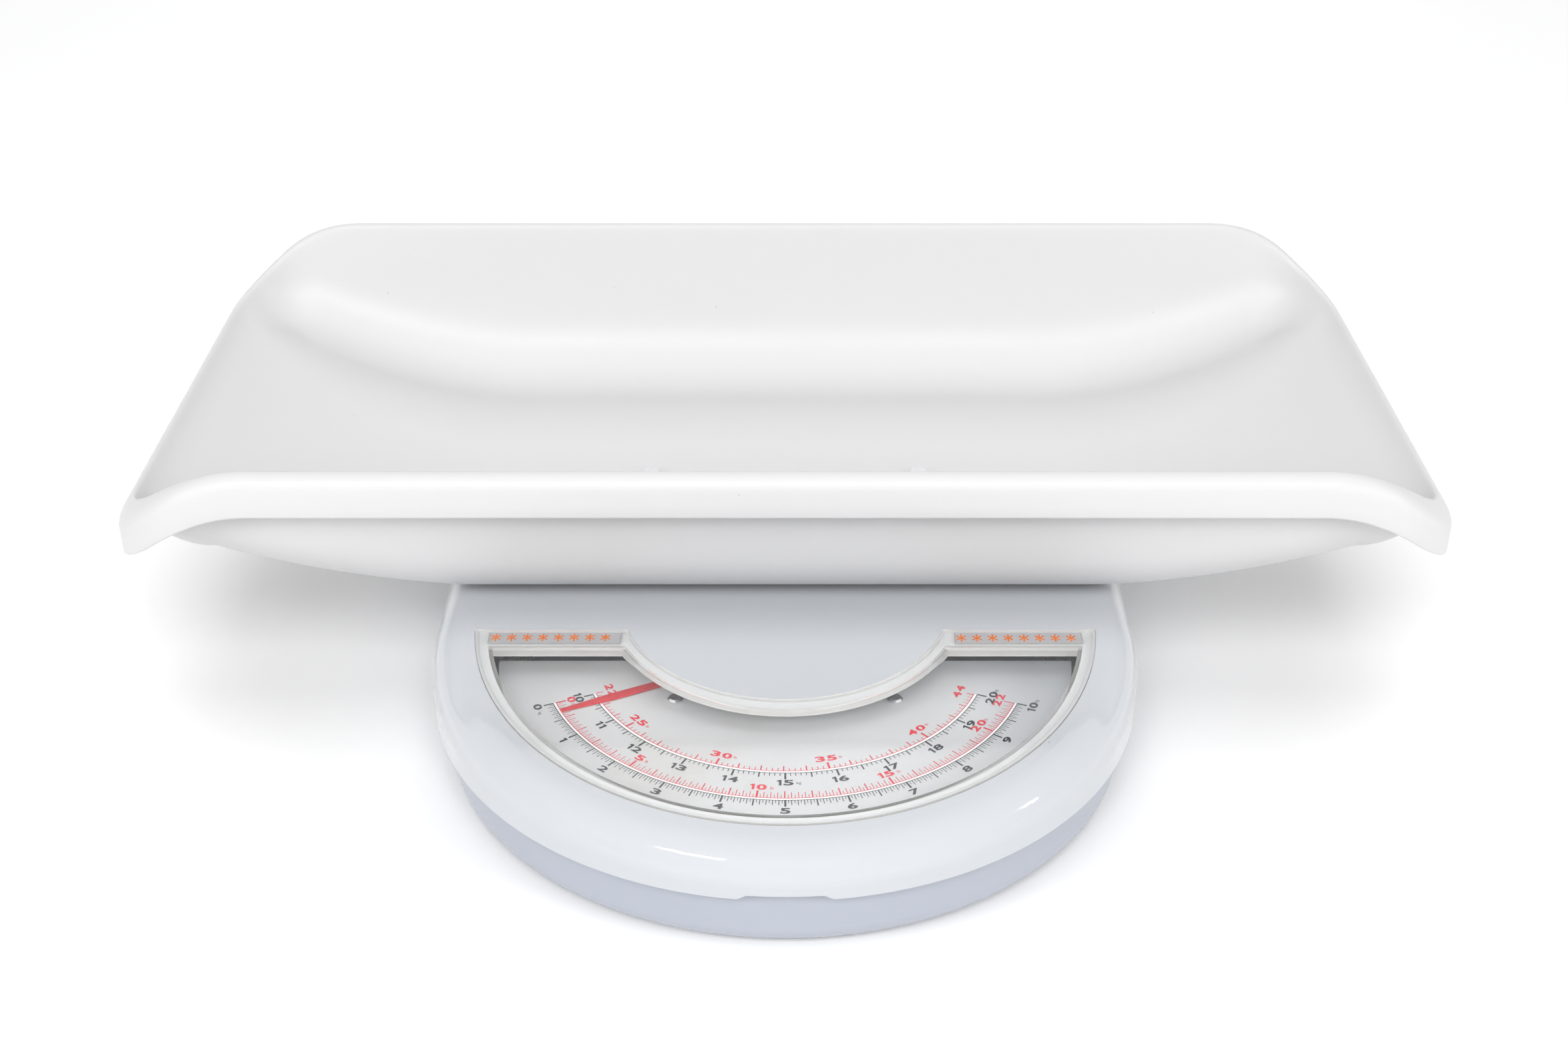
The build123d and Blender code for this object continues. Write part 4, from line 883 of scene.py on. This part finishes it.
def make_lens():
    """The clear pane, a raised ridge round its edge and a wall that hangs into the window."""
    loop = [(i / LENS_LONG, 0.0) for i in range(LENS_LONG)]
    loop += [(1.0, i / LENS_SHORT) for i in range(LENS_SHORT)]
    loop += [(1 - i / LENS_LONG, 1.0) for i in range(LENS_LONG)]
    loop += [(0.0, 1 - i / LENS_SHORT) for i in range(LENS_SHORT)]
    vertices = []
    faces = []

    def place(shape, inset, along, across, lift):
        x, y = moon_point(shape, inset, along, across)
        return (DIAL_X + x * MM, DIAL_Y + y * MM, (roof_height(y) + lift) * MM)

    def patch(shape, inset, lift, flip):
        """The top or the underside of the pane, inside its edge."""
        first = len(vertices)
        for i in range(LENS_LONG + 1):
            for j in range(LENS_SHORT + 1):
                vertices.append(place(shape, inset, i / LENS_LONG, j / LENS_SHORT, lift))
        row = LENS_SHORT + 1
        for i in range(LENS_LONG):
            for j in range(LENS_SHORT):
                a = first + i * row + j
                face = (a, a + row, a + row + 1, a + 1)
                faces.append(face[::-1] if flip else face)

    patch(LENS_SHAPE, RIDGE, 0.0, False)
    ridge = [
        (LENS_SHAPE, RIDGE, 0.0), (LENS_SHAPE, RIDGE - 0.05, 0.45), (LENS_SHAPE, 1.25, 0.72),
        (LENS_SHAPE, 0.8, 0.8), (LENS_SHAPE, 0.35, 0.72), (LENS_SHAPE, 0.05, 0.45),
    ]
    wall = [
        (LENS_SHAPE, 0.0, PANE_UNDER), (WINDOW_SHAPE, 0.0, PANE_UNDER),
        (WINDOW_SHAPE, 0.0, hanging_lift), (WINDOW_SHAPE, flared_inset, hanging_lift),
        (WINDOW_SHAPE, HANG_THICK, PANE_UNDER),
    ]
    rings = ridge + wall
    base = len(vertices)
    for shape, inset, lift in rings:
        for along, across in loop:
            here = inset(along, across) if callable(inset) else inset
            height = lift(along, across) if callable(lift) else lift
            vertices.append(place(shape, here, along, across, height))
    edge_start = len(faces) + (len(ridge) - 1) * len(loop)
    for row in range(len(rings) - 1):
        a = base + row * len(loop)
        b = a + len(loop)
        for step in range(len(loop)):
            after = (step + 1) % len(loop)
            faces.append((a + step, b + step, b + after, a + after))
    edge_end = len(faces)
    patch(WINDOW_SHAPE, HANG_THICK, PANE_UNDER, True)
    lens = mesh_object("lens_pane", vertices, faces, MATERIALS["lens_clear"], smooth=True)
    lens.data.materials.append(acrylic_edge())
    for index in range(edge_start, edge_end):
        lens.data.polygons[index].material_index = 1
    weld = lens.modifiers.new("weld", "WELD")
    weld.merge_threshold = LENS_WELD
    bpy.context.view_layer.update()
    welded = lens.evaluated_get(bpy.context.evaluated_depsgraph_get())
    shaped = bpy.data.meshes.new_from_object(welded)
    lens.modifiers.clear()
    lens.data = shaped
    shaped.set_sharp_from_angle(angle=LENS_SHARP)
    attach(lens, "platform")
    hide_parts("lens")


# Label strips under the lens's back corners, in millimetres from the dial's axis

STRIP_Z, STRIP_LIFT = 54.5, 0.05
STRIP_BORDER = 0.35
STRIP_EDGES = ((-119.8, -66.8), (69.0, 119.8))
STRIP_FRONT, STRIP_BACK = -18.2, -10.4
STAR_WIDE, STAR_HIGH, STAR_ARM = 2.15, 2.65, 0.15
STARS = 8
ASTERISK_ROWS = ((-117.2, -72.8, -14.2), (71.3, 115.7, -14.6))


def asterisk():
    """The outline of a six-armed star that reaches one unit out."""
    star = []
    for arm in range(6):
        turn = math.radians(90 + 60 * arm)
        for side in (-STAR_ARM, STAR_ARM):
            star.append((
                math.cos(turn) - side * math.sin(turn),
                math.sin(turn) + side * math.cos(turn),
            ))
        notch = turn + math.radians(30)
        star.append((2 * STAR_ARM * math.cos(notch), 2 * STAR_ARM * math.sin(notch)))
    return star


def make_strips():
    """Two satin strips with a row of orange asterisks each."""
    edge = Print((STRIP_Z - STRIP_LIFT) * MM)
    plate = Print(STRIP_Z * MM)
    marks = Print((STRIP_Z + STRIP_LIFT) * MM)
    for left, right in STRIP_EDGES:
        for sheet, grow in ((plate, 0.0), (edge, STRIP_BORDER)):
            corners = [(left - grow, STRIP_FRONT - grow), (right + grow, STRIP_FRONT - grow)]
            corners += [(right + grow, STRIP_BACK + grow), (left - grow, STRIP_BACK + grow)]
            sheet.polygon([(DIAL_X + x * MM, DIAL_Y + y * MM) for x, y in corners])
    star = asterisk()
    for first, last, y in ASTERISK_ROWS:
        for step in range(STARS):
            x = first + (last - first) * step / (STARS - 1)
            marks.polygon([
                (DIAL_X + (x + px * STAR_WIDE) * MM, DIAL_Y + (y + py * STAR_HIGH) * MM)
                for px, py in star
            ])
    edge.build("label_edges", LABEL_EDGE, "platform")
    plate.build("label_strips", LABEL_GREY, "platform")
    marks.build("label_asterisks", ORANGE_INK, "platform")


# The studio, in metres and watts

FLOOR_REACH = 3.0
FLOOR_TONES = [(0.3, (0.94, 0.94, 0.94)), (0.7, (0.95, 0.95, 0.95))]
WORLD_LIGHT = ((0.985, 0.99, 1.0, 1), 0.16)              # colour and strength
BACKDROP = (0.97, 0.97, 0.975, 1)
LAMPS = (                                # name, place, aim, size, power
    ("key_light", (-1.0, -1.85, 1.75), (0, 0, 0.05), (0.75, 0.2), 5),
    ("right_light", (1.9, -0.6, 0.9), (0, 0, 0.05), (0.16, 0.16), 2),
)
SOFT_LAMPS = (
    ("front_light", (0, -2.3, 1.4), (0, 0, 0.08), (1.8, 0.6), 13),
    ("upper_light", (0, -1.9, 1.95), (0, 0, 0.08), (1.6, 0.8), 26),
    ("top_light", (0, -0.5, 2.6), (0, 0, 0.08), (2.0, 1.2), 19),
    ("left_light", (-2.0, -1.2, 1.0), (0, 0, 0.08), (0.8, 0.8), 21),
    ("fill_light", (2.0, -1.2, 1.0), (0, 0, 0.08), (0.8, 0.8), 20),
    ("back_light", (0, 2.1, 2.0), (0, 1.4, 0), (2.6, 1.0), 34),
)

# The photograph's camera
PHOTO_WIDTH = 2348
PHOTO_FOCAL_PX = 3100
SENSOR = 36.0
CAMERA_PITCH = 30.15
CAMERA_BACK = 716.4 * MM
CAMERA_UP = 478.4 * MM
CAMERA_X = -0.5 * MM


def make_stage():
    """A plain pale floor."""
    material, tree, shader = new_material("studio_floor")
    grain = noise(tree, 3.0, detail=3.0)
    tint = ramp(tree, grain.outputs["Fac"], FLOOR_TONES)
    tree.links.new(tint.outputs["Color"], shader.inputs["Base Color"])
    shader.inputs["Roughness"].default_value = 0.9
    corners = [(-1, -1), (1, -1), (1, 1), (-1, 1)]
    vertices = [(x * FLOOR_REACH, y * FLOOR_REACH, 0) for x, y in corners]
    mesh_object("studio_floor", vertices, [(0, 1, 2, 3)], material)


def area_light(name, place, aim, size, power):
    """A rectangular lamp turned towards a point."""
    light = bpy.data.lights.new(name, "AREA")
    light.shape = "RECTANGLE"
    light.size, light.size_y = size
    light.energy = power
    holder = bpy.data.objects.new(name, light)
    bpy.context.scene.collection.objects.link(holder)
    direction = Vector(aim) - Vector(place)
    facing = direction.to_track_quat("-Z", "Y").to_matrix().to_4x4()
    holder.matrix_world = Matrix.Translation(Vector(place)) @ facing
    return holder


def make_lights():
    """A weak sky, a bright backdrop, two lamps that glint and soft ones that don't."""
    world = bpy.data.worlds.new("studio")
    world.use_nodes = True
    tree = world.node_tree
    sky = tree.nodes["Background"]
    sky.inputs["Color"].default_value, sky.inputs["Strength"].default_value = WORLD_LIGHT
    backdrop = tree.nodes.new("ShaderNodeBackground")
    backdrop.inputs["Color"].default_value = BACKDROP
    path = tree.nodes.new("ShaderNodeLightPath")
    seen = tree.nodes.new("ShaderNodeMath")
    seen.operation = "MAXIMUM"
    tree.links.new(path.outputs["Is Camera Ray"], seen.inputs[0])
    tree.links.new(path.outputs["Is Glossy Ray"], seen.inputs[1])
    blend = tree.nodes.new("ShaderNodeMixShader")
    tree.links.new(seen.outputs["Value"], blend.inputs["Fac"])
    tree.links.new(sky.outputs["Background"], blend.inputs[1])
    tree.links.new(backdrop.outputs["Background"], blend.inputs[2])
    tree.links.new(blend.outputs["Shader"], tree.nodes["World Output"].inputs["Surface"])
    bpy.context.scene.world = world
    for lamp in LAMPS:
        area_light(*lamp)
    for lamp in SOFT_LAMPS:
        holder = area_light(*lamp)
        holder.visible_glossy = False
        holder.visible_transmission = False


def make_camera():
    """The camera at the photograph's place, with its lens and angle."""
    camera = bpy.data.cameras.new("photo_camera")
    camera.sensor_width = SENSOR
    camera.lens = SENSOR * PHOTO_FOCAL_PX / PHOTO_WIDTH
    camera.clip_start = 0.01
    holder = bpy.data.objects.new("photo_camera", camera)
    bpy.context.scene.collection.objects.link(holder)
    holder.location = (DIAL_X + CAMERA_X, DIAL_Y - CAMERA_BACK, DIAL_Z + CAMERA_UP)
    holder.rotation_euler = (math.radians(90 - CAMERA_PITCH), 0, 0)
    bpy.context.scene.camera = holder


dress_solids()
print_dial()
make_tray()
make_pointer()
make_lens()
make_strips()
make_stage()
make_lights()
make_camera()
bpy.context.scene.view_settings.view_transform = "Standard"
